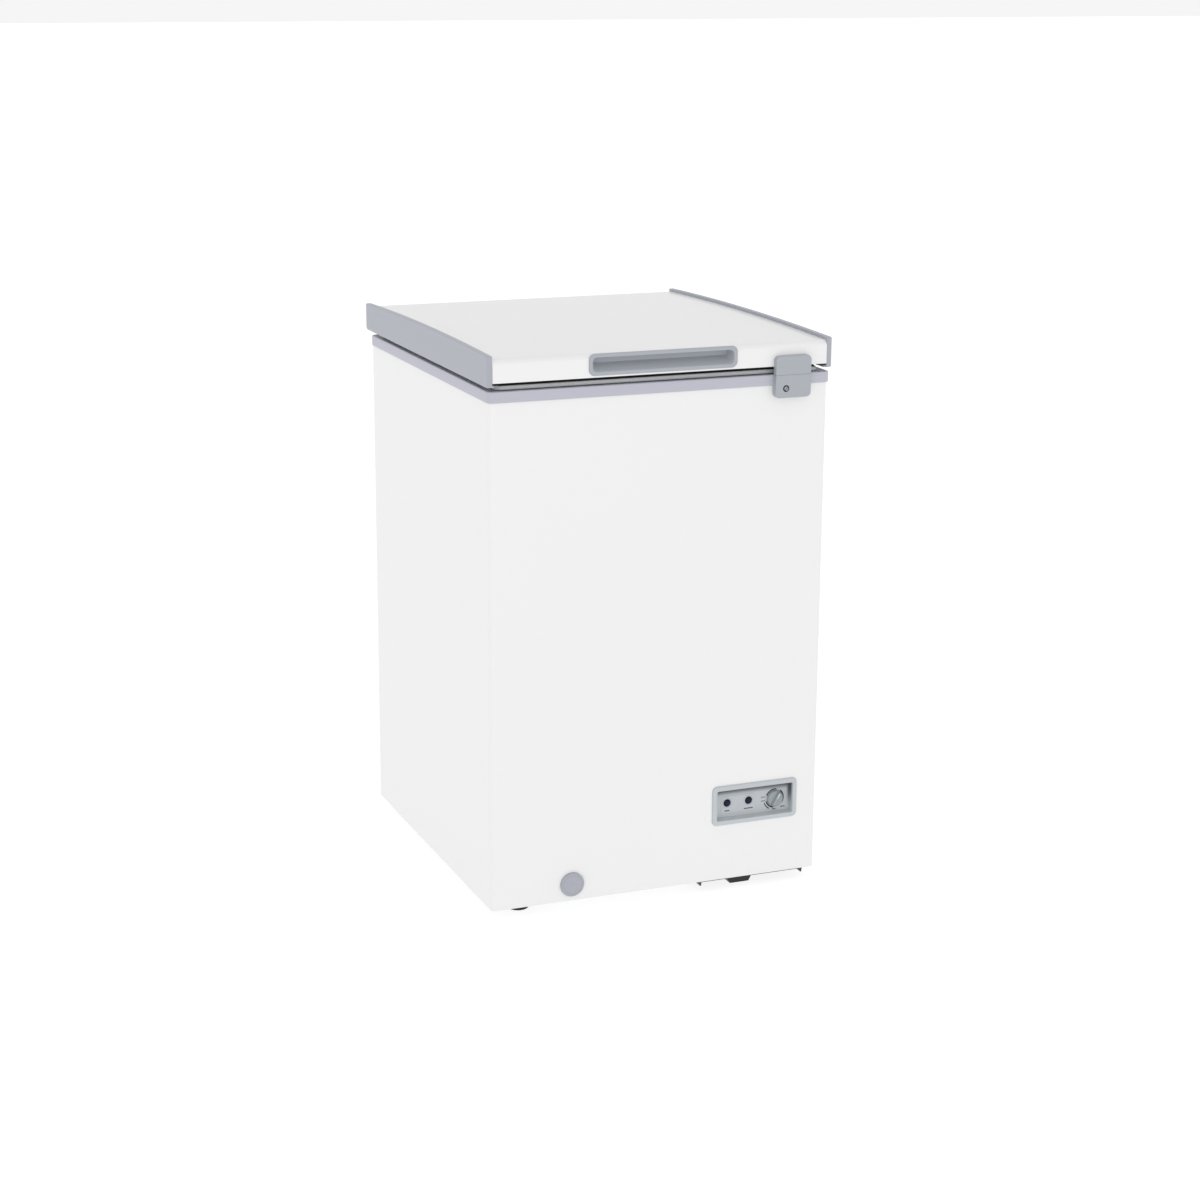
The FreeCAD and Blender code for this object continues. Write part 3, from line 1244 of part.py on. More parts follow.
def basket():
    """Wire basket that hangs on the collar and slides along it."""
    r, fine = d.wire_r.number, d.mesh_r.number
    x1 = (tub_x - d.basket_clear).number
    x0 = x1 - d.basket_w.number
    y0, y1 = (tub_y0 + d.basket_clear).number, (tub_y1 - d.basket_clear).number
    top = (collar_top - d.basket_sink).number
    low = top - d.basket_z.number
    corner = d.basket_clear.number
    band = (r + fine) / 2
    frame = [(top, r), (low, band), ((top + low) / 2, band)]
    pieces = [wire_ring(x0, x1, y0, y1, z, corner, radius) for z, radius in frame]
    across, along = int(d.basket_across.number), int(d.basket_along.number)
    for i in range(1, across):
        x = x0 + (x1 - x0) * i / across
        pieces += [wire(Vector(x, y, low), Vector(x, y, top), fine) for y in (y0, y1)]
        pieces.append(wire(Vector(x, y0, low), Vector(x, y1, low), fine))
    for i in range(1, along):
        y = y0 + (y1 - y0) * i / along
        pieces += [wire(Vector(x, y, low), Vector(x, y, top), fine) for x in (x0, x1)]
    under = low - fine * 1.2
    for i in range(1, along, 3):
        y = y0 + (y1 - y0) * i / along
        pieces.append(wire(Vector(x0, y, under), Vector(x1, y, under), fine))
    rest = collar_top.number + r + d.part_gap.number
    hook = (d.collar_t + d.basket_clear + d.hook_lap).number
    for x in (x0 + d.hook_in.number, x1 - d.hook_in.number):
        for y, way in ((y0, -1), (y1, 1)):
            route = [Vector(x, y, top), Vector(x, y, rest), Vector(x, y + way * hook, rest)]
            pieces.append(bent_tube(route, r * 2, r))
    set_shape("wire_basket", pieces[0].multiFuse(pieces[1:]))


# ---------------------------------------------------------------- build
def export_pieces():
    """Checks every object, then writes one STEP file for each piece."""
    DOC.recompute()
    failed = [item.Name for item in DOC.Objects if {"Invalid", "Error"} & set(item.State)]
    if failed:
        raise RuntimeError(f"not built: {failed}")
    pieces = [item for item in DOC.Objects if item.TypeId in ("PartDesign::Body", "Part::Feature")]
    for piece in pieces:
        if piece.Shape.isNull() or not piece.Shape.isValid():
            raise RuntimeError(f"{piece.Label} has no valid shape")
    os.makedirs("parts", exist_ok=True)
    for piece in pieces:
        piece.Shape.exportStep(os.path.join("parts", f"{piece.Label}.step"))
        print(f"{piece.Label}: {len(piece.Shape.Solids)} solid(s), {piece.Shape.Volume / 1000:.1f} cm3")


outer_wrap()
rear_panel()
bottom_plate()
compartment_bulkhead()
cabinet_foam()
inner_liner()
collar_frame()
compressor_tray()
rubber_feet()
compressor()
start_relay_cover()
filter_drier()
refrigerant_lines()
evaporator_tube()
condenser_tube()
rear_grille()
drain()
control_bezel()
indicator_lamps()
thermostat()
lock()
lid_outer_panel()
lid_side_covers()
lid_foam()
lid_inner_panel()
lid_gasket()
handle_insert()
hinges()
basket()
export_pieces()
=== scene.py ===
"""Looks of a small chest freezer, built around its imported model.

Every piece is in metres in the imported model's own frame: +X to the right of someone facing the
front, +Y to the back, +Z up, and the floor at zero.
"""
import logging
import math
from dataclasses import dataclass
from enum import Enum
from typing import Any, Callable, Iterable, Sequence

import bmesh
import bpy
from mathutils import Matrix, Vector


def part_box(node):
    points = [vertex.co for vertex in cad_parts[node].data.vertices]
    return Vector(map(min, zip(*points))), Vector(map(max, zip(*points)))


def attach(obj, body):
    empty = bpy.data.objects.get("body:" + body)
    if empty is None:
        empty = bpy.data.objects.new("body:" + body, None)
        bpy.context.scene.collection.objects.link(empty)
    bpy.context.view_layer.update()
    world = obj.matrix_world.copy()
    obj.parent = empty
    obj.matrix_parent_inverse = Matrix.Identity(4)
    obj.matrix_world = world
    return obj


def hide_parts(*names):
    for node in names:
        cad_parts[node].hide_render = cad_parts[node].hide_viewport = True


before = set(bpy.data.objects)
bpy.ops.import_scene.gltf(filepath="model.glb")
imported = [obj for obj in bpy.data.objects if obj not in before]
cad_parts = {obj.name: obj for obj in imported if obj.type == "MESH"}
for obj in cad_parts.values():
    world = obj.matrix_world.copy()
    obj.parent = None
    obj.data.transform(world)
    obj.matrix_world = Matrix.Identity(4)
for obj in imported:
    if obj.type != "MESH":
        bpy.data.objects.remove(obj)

LOG = logging.getLogger("chest_freezer")
MM = 0.001
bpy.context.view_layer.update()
BUTTED = 0.02 * MM
SAME = 0.001 * MM
TUB_WALL = 60.0 * MM
INWARD = Vector((0, 1, 0))
UP = Vector((0, 0, 1))

Colour = tuple[float, float, float]
Spot = tuple[float, float, float]


class Body(Enum):
    """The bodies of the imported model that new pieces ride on."""

    CABINET = "cabinet"
    LID = "lid"
    DIAL = "dial"
    LOCK = "lock_cylinder"
    CAP = "front_drain_cap"


class Slot(Enum):
    """The record's material slots."""

    PAINT = "white_paint"
    ZINC = "zinc_sheet"
    BLACK = "black_paint"
    GREY = "grey_plastic"
    DIAL = "dial_plastic"
    DARK = "dark_plastic"
    WHITE = "white_plastic"
    FOAM = "foam"
    SEAL = "seal_rubber"
    RUBBER = "black_rubber"
    COPPER = "copper"
    STEEL = "coated_steel"
    LENS = "lamp_lens"
    WIRE = "white_wire"


class Plane(Enum):
    """The plane that a loop is drawn in, by the axis it is level along."""

    FLOOR = 2
    FRONT = 1


class Carving(Enum):
    """How one workpiece acts on another."""

    CUT = "DIFFERENCE"
    JOIN = "UNION"


def tint(red: int, green: int, blue: int) -> Colour:
    """Returns the linear colour of an sRGB triple from 0 to 255."""
    parts = [value / 255 for value in (red, green, blue)]
    return tuple(p / 12.92 if p <= 0.04045 else ((p + 0.055) / 1.055) ** 2.4 for p in parts)


# ---------------------------------------------------------------- shader maths
class Channel:
    """A shader value that Python arithmetic turns into Math nodes."""

    def __init__(self, shader: "Shader", socket: bpy.types.NodeSocket) -> None:
        """Keeps the node tree and the output socket."""
        self.shader = shader
        self.socket = socket

    def math(self, operation: str, *operands: Any) -> "Channel":
        """Returns the result of one Math node."""
        return self.shader.node("ShaderNodeMath", {"operation": operation}, dict(enumerate(operands)))

    def __add__(self, other: Any) -> "Channel":
        """Returns the sum."""
        return self.math("ADD", self, other)

    def __sub__(self, other: Any) -> "Channel":
        """Returns the difference."""
        return self.math("SUBTRACT", self, other)

    def __rsub__(self, other: Any) -> "Channel":
        """Returns the difference the other way round."""
        return self.math("SUBTRACT", other, self)

    def __mul__(self, other: Any) -> "Channel":
        """Returns the product."""
        return self.math("MULTIPLY", self, other)

    __radd__ = __add__
    __rmul__ = __mul__

    def between(self, low: float, high: float) -> "Channel":
        """Returns 0 at low and 1 at high, with a smooth step between.

        Args:
            low: the value that gives 0.
            high: the value that gives 1; it may be the smaller of the two.

        Returns:
            The stepped channel.
        """
        settings = {"interpolation_type": "SMOOTHSTEP"}
        return self.shader.node("ShaderNodeMapRange", settings, {0: self, 1: low, 2: high})


class Shader:
    """The node tree of one material, ending in its Principled surface."""

    def __init__(self, name: str) -> None:
        """Makes an empty material with a Principled surface."""
        self.material = bpy.data.materials.new(name)
        self.material.use_nodes = True
        self.tree = self.material.node_tree
        self.principled = self.tree.nodes["Principled BSDF"]
        self.place = self.node("ShaderNodeTexCoord", output="Object")

    def node(self, kind: str, settings: dict | None = None, inputs: dict | None = None,
             output: int | str = 0) -> Channel:
        """Adds one node.

        Args:
            kind: the node's type name.
            settings: its properties, set before its sockets; "stops" fills a colour ramp.
            inputs: numbers, colours or channels for its sockets, by index or name.
            output: the output socket to hand back.

        Returns:
            That output socket as a channel.
        """
        made = self.tree.nodes.new(kind)
        for name, value in (settings or {}).items():
            if name == "stops":
                self.fill_ramp(made.color_ramp, value)
            else:
                setattr(made, name, value)
        for key, value in (inputs or {}).items():
            self.feed(made.inputs[key], value)
        return Channel(self, made.outputs[output])

    def fill_ramp(self, ramp: bpy.types.ColorRamp, stops: Sequence[tuple[float, Colour]]) -> None:
        """Puts colour stops on a ramp that starts with two."""
        while len(ramp.elements) < len(stops):
            ramp.elements.new(0.5)
        for element, (place, colour) in zip(ramp.elements, stops):
            element.position = place
            element.color = (*colour, 1.0)

    def feed(self, socket: bpy.types.NodeSocket, value: Any) -> None:
        """Links a channel to a socket, or sets a plain value on it."""
        if isinstance(value, Channel):
            self.tree.links.new(value.socket, socket)
        elif isinstance(value, tuple) and len(value) == 3 and socket.type == "RGBA":
            socket.default_value = (*value, 1.0)
        else:
            socket.default_value = value

    def noise(self, scale: float, detail: float = 2.0, vector: Channel | None = None) -> Channel:
        """Returns soft noise with that many features per metre."""
        inputs = {"Vector": vector or self.place, "Scale": scale, "Detail": detail}
        return self.node("ShaderNodeTexNoise", None, inputs)

    def cells(self, scale: float, feature: str = "F1", output: str = "Distance") -> Channel:
        """Returns a cell pattern with that many cells per metre."""
        inputs = {"Vector": self.place, "Scale": scale}
        return self.node("ShaderNodeTexVoronoi", {"feature": feature}, inputs, output)

    def stretched(self, stretch: Spot) -> Channel:
        """Returns the place on the object, stretched along its axes."""
        return self.node("ShaderNodeMapping", None, {"Vector": self.place, "Scale": stretch})

    def height(self) -> Channel:
        """Returns the height above the floor in metres."""
        return self.node("ShaderNodeSeparateXYZ", None, {0: self.place}, "Z")

    def reach(self, centre: Vector) -> Channel:
        """Returns the distance to a point of the object in metres."""
        return self.node("ShaderNodeVectorMath", {"operation": "DISTANCE"},
                         {0: self.place, 1: tuple(centre)}, "Value")

    def mix(self, first: Colour | Channel, second: Colour | Channel, share: Channel | float) -> Channel:
        """Returns a blend of two colours."""
        return self.node("ShaderNodeMix", {"data_type": "RGBA"}, {0: share, 6: first, 7: second}, 2)

    def bump(self, height: Channel, depth: float, strength: float, below: Channel | None = None) -> Channel:
        """Returns a bumped normal.

        Args:
            height: the relief from 0 to 1.
            depth: the relief's depth in metres.
            strength: how strongly it shows.
            below: a coarser bump underneath.

        Returns:
            The normal.
        """
        inputs = {"Strength": strength, "Distance": depth, "Height": height}
        if below is not None:
            inputs["Normal"] = below
        return self.node("ShaderNodeBump", None, inputs)

    def surface(self, **values: Any) -> None:
        """Sets Principled sockets, named in lower case with underscores."""
        for name, value in values.items():
            title = " ".join(word if word == "IOR" else word.title() for word in name.split("_"))
            self.feed(self.principled.inputs[title], value)


# ---------------------------------------------------------------- finishes
@dataclass(frozen=True)
class Finish:
    """One surface finish, made once as a material and shared."""

    name: str
    slot: Slot
    colour: Colour

    def material(self) -> bpy.types.Material:
        """Returns the finish's material, made on first use."""
        known = bpy.data.materials.get(self.name)
        if known is not None:
            return known
        shader = Shader(self.name)
        self.paint(shader)
        return shader.material

    def paint(self, shader: Shader) -> None:
        """Fills the node tree; each kind of finish has its own."""
        raise NotImplementedError

    def tone(self, shader: Shader, pattern: Channel, change: float) -> Channel:
        """Returns the colour, darkened and lightened by a share of itself along a pattern."""
        dark = tuple(value * (1 - change) for value in self.colour)
        light = tuple(min(value * (1 + change), 1.0) for value in self.colour)
        return shader.mix(dark, light, pattern)


@dataclass(frozen=True)
class Enamel(Finish):
    """Baked paint on sheet steel, with a faint orange peel."""

    peel_per_m: float = 620.0
    peel_depth: float = 0.05 * MM

    def paint(self, shader: Shader) -> None:
        """Adds broad tone, a fine speckle, gloss changes and the peel."""
        broad = shader.noise(2.6, 3.0)
        speckle = shader.noise(260.0, 2.0)
        peel = shader.noise(self.peel_per_m, 1.0)
        wave = shader.bump(shader.noise(9.0, 1.0), 1.2 * MM, 0.12)
        shader.surface(
            base_color=self.tone(shader, broad * 0.8 + speckle * 0.2, 0.012),
            roughness=0.27 + broad * 0.08 + speckle * 0.04,
            normal=shader.bump(peel, self.peel_depth, 0.35, wave),
            coat_weight=0.35, coat_roughness=0.12, specular_IOR_level=0.5)


@dataclass(frozen=True)
class Moulded(Finish):
    """Injection moulded plastic with a spark-eroded grain."""

    grain_per_m: float = 1500.0
    grain_depth: float = 0.09 * MM
    roughness: float = 0.42

    def paint(self, shader: Shader) -> None:
        """Adds flow marks, pigment speckle and grain."""
        flow = shader.noise(1.0, 3.0, shader.stretched((9.0, 9.0, 34.0)))
        speckle = shader.noise(self.grain_per_m, 2.0)
        grain = shader.cells(self.grain_per_m, "SMOOTH_F1")
        shader.surface(
            base_color=self.tone(shader, flow * 0.7 + speckle * 0.3, 0.035),
            roughness=self.roughness + flow * 0.08 - speckle * 0.06,
            normal=shader.bump(grain, self.grain_depth, 0.4), specular_IOR_level=0.45)


@dataclass(frozen=True)
class PaintedShadePanel(Moulded):
    """Moulded plastic with painted shade in its recess, under its brow and along its right wall."""

    face: float = 0.0
    brow: float = 0.0
    end: float = 0.0
    shade: Colour = tint(58, 61, 72)
    sunk: tuple[float, float] = (2.0 * MM, 5.0 * MM)
    under: tuple[float, float] = (13.0 * MM, 4.0 * MM)
    beside: tuple[float, float] = (5.0 * MM, 0.5 * MM)
    along_wall: tuple[float, float] = (44.0 * MM, 12.0 * MM)
    strength: float = 0.86

    def tone(self, shader: Shader, pattern: Channel, change: float) -> Channel:
        """Returns the plastic's colour with painted shade in the recess's upper and right corners."""
        plastic = super().tone(shader, pattern, change)
        x, y, z = (shader.node("ShaderNodeSeparateXYZ", None, {0: shader.place}, axis) for axis in "XYZ")
        # painted shade: the sunk floor turns dark under the brow and beside the right wall, where the rim
        # would shade it
        sunk = y.between(*(self.face + inner for inner in self.sunk))
        under = z.between(*(self.brow - below for below in self.under))
        low_wall = z.between(*(self.brow - below for below in self.along_wall))
        beside = x.between(*(self.end - left for left in self.beside)) * low_wall
        return shader.mix(plastic, self.shade, sunk * (under + beside - under * beside) * self.strength)


@dataclass(frozen=True)
class Thermoformed(Finish):
    """Glossy plastic sheet drawn over a mould."""

    def paint(self, shader: Shader) -> None:
        """Adds slow waves of the sheet and a fine surface tooth."""
        broad = shader.noise(7.0, 2.0)
        wave = shader.bump(broad, 1.0 * MM, 0.08)
        shader.surface(
            base_color=self.tone(shader, broad, 0.01), roughness=0.32 + shader.noise(35.0) * 0.08,
            normal=shader.bump(shader.noise(900.0), 0.04 * MM, 0.3, wave), coat_weight=0.15,
            coat_roughness=0.2)


@dataclass(frozen=True)
class Vinyl(Finish):
    """Pale seal whose neck above the bulb is painted dark as shade under the lid."""

    dark: Colour = (0.02, 0.02, 0.02)
    split: float = 0.0

    def paint(self, shader: Shader) -> None:
        """Paints shade on the neck above the split height and adds dust and drawing lines."""
        # painted shade: above the split the seal takes the dark colour, standing in for the shadow under the
        # lid's overhang
        upper = shader.height().between(self.split - 0.2 * MM, self.split + 0.2 * MM)
        dust = shader.noise(120.0, 4.0)
        lines = shader.noise(1.0, 2.0, shader.stretched((6.0, 6.0, 2200.0)))
        shader.surface(
            base_color=shader.mix(self.tone(shader, dust, 0.06), self.dark, upper),
            roughness=0.45 + dust * 0.15, normal=shader.bump(lines, 0.06 * MM, 0.4))


@dataclass(frozen=True)
class Zinc(Finish):
    """Hot-dip galvanised sheet with its spangle."""

    spangles_per_m: float = 150.0

    def paint(self, shader: Shader) -> None:
        """Gives each crystal its own tone and gloss, under light stains."""
        crystal = shader.cells(self.spangles_per_m, "F1", "Color")
        value = shader.node("ShaderNodeSeparateColor", None, {0: crystal})
        stain = shader.noise(6.0, 5.0)
        shader.surface(
            base_color=self.tone(shader, value * 0.7 + stain * 0.3, 0.09), metallic=0.75,
            roughness=0.34 + value * 0.16 + stain * 0.08,
            normal=shader.bump(shader.cells(self.spangles_per_m), 0.08 * MM, 0.25))


@dataclass(frozen=True)
class Brushed(Finish):
    """Plated metal with fine drawing lines along X."""

    roughness: float = 0.3
    metal: float = 0.9

    def paint(self, shader: Shader) -> None:
        """Adds lines, clouding and a little grime."""
        lines = shader.noise(1.0, 3.0, shader.stretched((40.0, 1600.0, 1600.0)))
        cloud = shader.noise(55.0, 4.0)
        shader.surface(
            base_color=self.tone(shader, lines * 0.5 + cloud * 0.5, 0.14), metallic=self.metal,
            roughness=self.roughness + cloud * 0.16, normal=shader.bump(lines, 0.03 * MM, 0.35))


@dataclass(frozen=True)
class BarrelFace(Brushed):
    """Plated barrel with painted shade in the groove round its nose."""

    centre: Vector = Vector()
    nose: float = 3.7 * MM
    # colour of the painted shade in the groove round the nose
    groove: Colour = (0.01, 0.01, 0.01)

    def tone(self, shader: Shader, pattern: Channel, change: float) -> Channel:
        """Returns the metal's colour, with painted shade beyond the nose."""
        metal = super().tone(shader, pattern, change)
        # painted shade: the sunk ledge beyond the nose is painted near black, as the groove would be in
        # shadow
        beyond = shader.reach(self.centre).between(self.nose, self.nose + 0.3 * MM)
        return shader.mix(metal, self.groove, beyond)


@dataclass(frozen=True)
class PowderCoat(Finish):
    """Satin paint with a fine pebbled skin and dusty high spots."""

    dusty: Colour = tint(70, 70, 70)

    def paint(self, shader: Shader) -> None:
        """Adds pebbles, dust and faint rubbing."""
        pebble = shader.noise(1100.0, 2.0)
        dust = shader.noise(28.0, 5.0).between(0.45, 0.8)
        shader.surface(
            base_color=shader.mix(self.colour, self.dusty, dust * 0.35),
            roughness=0.38 + dust * 0.25, normal=shader.bump(pebble, 0.12 * MM, 0.5))


@dataclass(frozen=True)
class Rubber(Finish):
    """Matt black rubber with chalky bloom."""

    chalk: Colour = tint(62, 62, 64)

    def paint(self, shader: Shader) -> None:
        """Adds bloom and a fine tooth."""
        bloom = shader.noise(70.0, 5.0).between(0.4, 0.85)
        shader.surface(
            base_color=shader.mix(self.colour, self.chalk, bloom * 0.5),
            roughness=0.7 + bloom * 0.2, normal=shader.bump(shader.noise(1400.0), 0.1 * MM, 0.4))


@dataclass(frozen=True)
class Tarnished(Finish):
    """Drawn copper tube with patches of tarnish."""

    tarnish: Colour = tint(96, 58, 40)

    def paint(self, shader: Shader) -> None:
        """Adds tarnish and fine drawing marks."""
        patch = shader.noise(45.0, 5.0).between(0.4, 0.7)
        shader.surface(
            base_color=shader.mix(self.colour, self.tarnish, patch), metallic=1.0,
            roughness=0.24 + patch * 0.3, normal=shader.bump(shader.noise(900.0), 0.04 * MM, 0.3))


@dataclass(frozen=True)
class Cellular(Finish):
    """Rigid foam with small cells and darker flow skin."""

    def paint(self, shader: Shader) -> None:
        """Adds cells and flow patches."""
        flow = shader.noise(14.0, 4.0)
        shader.surface(
            base_color=self.tone(shader, flow, 0.12), roughness=0.85,
            normal=shader.bump(shader.cells(420.0), 0.6 * MM, 0.6))


@dataclass(frozen=True)
class Lens(Finish):
    """Coloured lamp lens with a painted highlight in its middle and painted shade at its rim."""

    centre: Vector = Vector()
    radius: float = 6.0 * MM

    def paint(self, shader: Shader) -> None:
        """Paints a highlight in the middle fading to shade at the rim, under a clear gloss."""
        # painted highlight and shade: lighter at the middle, darker towards the rim, as light falls on the
        # dome
        away = shader.reach(self.centre).between(0.0, self.radius)
        facets = shader.cells(1500.0)
        light = tuple(min(value * 1.8 + 0.003, 1.0) for value in self.colour)
        shader.surface(
            base_color=shader.mix(light, self.colour, away + facets * 0.25), roughness=0.12 + facets * 0.1,
            normal=shader.bump(facets, 0.1 * MM, 0.2), specular_IOR_level=0.22)


@dataclass(frozen=True)
class Ink(Finish):
    """Screen-printed mark with slightly broken coverage."""

    def paint(self, shader: Shader) -> None:
        """Breaks the ink up a little."""
        worn = shader.noise(900.0, 4.0)
        shader.surface(base_color=self.tone(shader, worn, 0.2), roughness=0.45 + worn * 0.15)


@dataclass(frozen=True)
class Backdrop(Finish):
    """Seamless pale studio floor, lit from beneath like a light table."""

    glow: float = 0.86

    def paint(self, shader: Shader) -> None:
        """Adds only the faintest cloud and the glow."""
        shader.surface(
            base_color=self.tone(shader, shader.noise(0.8), 0.004), roughness=0.9, specular_IOR_level=0.0,
            emission_color=(1.0, 1.0, 1.0), emission_strength=self.glow)


WHITE_ENAMEL = Enamel("white enamel", Slot.PAINT, tint(231, 231, 231))
COVER_GREY = Moulded("cover grey plastic", Slot.GREY, tint(165, 168, 177))
COLLAR_GREY = Moulded("collar grey plastic", Slot.GREY, tint(180, 181, 192))
LOCK_GREY = Moulded("lock grey plastic", Slot.GREY, tint(164, 168, 175))
CAP_GREY = Moulded("drain cap plastic", Slot.GREY, tint(164, 166, 176))
DIAL_GREY = Moulded("dial plastic", Slot.DIAL, tint(148, 156, 159), roughness=0.36)
DARK_PLASTIC = Moulded("dark moulded plastic", Slot.DARK, tint(48, 49, 52))
LINER_WHITE = Thermoformed("liner white plastic", Slot.WHITE, tint(238, 240, 241))
SHEET_ZINC = Zinc("galvanised sheet", Slot.ZINC, tint(190, 193, 196))
BLACK_PAINT = PowderCoat("black painted steel", Slot.BLACK, tint(22, 22, 23))
BLACK_RUBBER = Rubber("black rubber", Slot.RUBBER, tint(20, 20, 21))
COPPER = Tarnished("tarnished copper", Slot.COPPER, tint(205, 127, 92))
PLATED = Brushed("plated steel", Slot.STEEL, tint(188, 190, 192))
FOAM = Cellular("rigid foam", Slot.FOAM, tint(224, 203, 150))
WHITE_WIRE = Thermoformed("coated wire", Slot.WIRE, tint(236, 238, 238))
INK = Ink("dark print", Slot.DIAL, tint(34, 37, 44))
PALE_INK_AND_HIGHLIGHT = Ink("pale print and painted highlight", Slot.DIAL, tint(232, 234, 234))
STUDIO_FLOOR = Backdrop("studio floor", Slot.PAINT, tint(138, 138, 138))


# ---------------------------------------------------------------- workpieces
@dataclass(frozen=True)
class Loop:
    """A rounded rectangle at one level, to be bridged with others."""

    low: tuple[float, float]
    high: tuple[float, float]
    radius: float
    level: float

    def grown(self, out: float, level: float, radius: float | None = None) -> "Loop":
        """Returns the loop moved outwards all round, at another level."""
        low = (self.low[0] - out, self.low[1] - out)
        high = (self.high[0] + out, self.high[1] + out)
        return Loop(low, high, max(self.radius + out, 0.3 * MM) if radius is None else radius, level)


class Workpiece:
    """A mesh shaped with bmesh operators until it becomes one named piece."""

    def __init__(self, name: str) -> None:
        """Starts an empty mesh."""
        self.name = name
        self.bm = bmesh.new()

    def block(self, low: Spot, high: Spot) -> "Workpiece":
        """Adds a box between two corners and returns the workpiece."""
        verts = bmesh.ops.create_cube(self.bm, size=1.0)["verts"]
        span = [b - a for a, b in zip(low, high)]
        middle = [(a + b) / 2 for a, b in zip(low, high)]
        bmesh.ops.scale(self.bm, vec=span, verts=verts)
        bmesh.ops.translate(self.bm, vec=middle, verts=verts)
        return self

    def soften(self, chosen: Callable[[bmesh.types.BMEdge], bool], offset: float,
               segments: int = 4) -> "Workpiece":
        """Rounds the edges that a test picks.

        Args:
            chosen: says whether an edge is rounded.
            offset: how far the rounding reaches on each side.
            segments: faces across the rounding.

        Returns:
            The workpiece.
        """
        edges = [edge for edge in self.bm.edges if chosen(edge)]
        bmesh.ops.bevel(self.bm, geom=edges, offset=offset, offset_type="OFFSET", segments=segments,
                        profile=0.5, affect="EDGES", material=-1, clamp_overlap=True)
        return self

    def loop(self, loop: Loop, plane: Plane, segments: int) -> list[bmesh.types.BMVert]:
        """Draws one rounded rectangle of edges.

        Args:
            loop: its corners, radius and level.
            plane: the plane it lies in.
            segments: edges in each corner.

        Returns:
            Its vertices in order round it.
        """
        known = set(self.bm.faces)
        verts = bmesh.ops.create_grid(self.bm, x_segments=1, y_segments=1, size=0.5)["verts"]
        span = (loop.high[0] - loop.low[0], loop.high[1] - loop.low[1], 1.0)
        middle = ((loop.low[0] + loop.high[0]) / 2, (loop.low[1] + loop.high[1]) / 2, 0.0)
        bmesh.ops.scale(self.bm, vec=span, verts=verts)
        bmesh.ops.translate(self.bm, vec=middle, verts=verts)
        bmesh.ops.bevel(self.bm, geom=verts, offset=loop.radius, offset_type="OFFSET",
                        segments=segments, profile=0.5, affect="VERTICES", material=-1)
        face = next(face for face in self.bm.faces if face not in known)
        verts = list(face.verts)
        if plane is Plane.FRONT:
            turn = Matrix.Rotation(math.pi / 2, 3, "X")
            bmesh.ops.rotate(self.bm, cent=(0, 0, 0), matrix=turn, verts=verts)
            bmesh.ops.translate(self.bm, vec=(0, loop.level, 0), verts=verts)
        else:
            bmesh.ops.translate(self.bm, vec=(0, 0, loop.level), verts=verts)
        bmesh.ops.delete(self.bm, geom=[face], context="FACES_ONLY")
        return verts

    def skin(self, loops: Sequence[Loop], plane: Plane, closed: bool = False, first: bool = False,
             last: bool = False, segments: int = 6) -> "Workpiece":
        """Joins a row of loops with faces.

        Args:
            loops: the loops in order.
            plane: the plane they lie in.
            closed: whether the last loop joins the first.
            first: whether the first loop is filled.
            last: whether the last loop is filled.
            segments: edges in each corner.

        Returns:
            The workpiece.
        """
        rings = [self.loop(loop, plane, segments) for loop in loops]
        pairs = list(zip(rings, rings[1:]))
        if closed:
            pairs.append((rings[-1], rings[0]))
        for start, end in pairs:
            for i in range(len(start)):
                self.bm.faces.new((start[i - 1], start[i], end[i], end[i - 1]))
        for ring, filled in ((rings[0], first), (rings[-1], last)):
            if filled:
                self.bm.faces.new(ring)
        return self.outwards()

    def chain(self, spots: Sequence[Spot]) -> list[bmesh.types.BMVert]:
        """Draws a row of edges through points and returns its vertices."""
        verts = [self.bm.verts.new(spot) for spot in spots]
        for start, end in zip(verts, verts[1:]):
            self.bm.edges.new((start, end))
        return verts

    def turned(self, profile: Sequence[tuple[float, float]], centre: Vector, axis: Vector,
               steps: int = 64) -> "Workpiece":
        """Spins a profile into a round solid.

        Args:
            profile: radius and height pairs, both ends on the axis.
            centre: the point on the axis at height zero.
            axis: the direction of height.
            steps: faces round the full turn.

        Returns:
            The workpiece.
        """
        side = axis.orthogonal().normalized()
        known = set(self.bm.verts)
        verts = self.chain([centre + side * radius + axis * height for radius, height in profile])
        edges = list(dict.fromkeys(edge for vert in verts for edge in vert.link_edges))
        bmesh.ops.spin(self.bm, geom=verts + edges, cent=centre, axis=axis, angle=math.tau, steps=steps,
                       use_merge=True)
        fresh = [vert for vert in self.bm.verts if vert not in known]
        bmesh.ops.remove_doubles(self.bm, verts=fresh, dist=SAME)
        return self.outwards()

    def placed(self, turn: Matrix, spot: Vector) -> "Workpiece":
        """Turns the workpiece about the origin, moves it to a spot and returns it."""
        verts = list(self.bm.verts)
        bmesh.ops.rotate(self.bm, cent=(0, 0, 0), matrix=turn, verts=verts)
        bmesh.ops.translate(self.bm, vec=spot, verts=verts)
        return self

    def outwards(self) -> "Workpiece":
        """Turns the faces outwards and returns the workpiece."""
        bmesh.ops.recalc_face_normals(self.bm, faces=list(self.bm.faces))
        return self

    def away_from(self, centre: Vector) -> "Workpiece":
        """Turns an open sheet's faces away from a point and returns the workpiece."""
        self.outwards()
        widest = max(self.bm.faces, key=lambda face: face.calc_area())
        if (widest.calc_center_median() - centre).dot(widest.normal) < 0:
            bmesh.ops.reverse_faces(self.bm, faces=list(self.bm.faces))
        return self

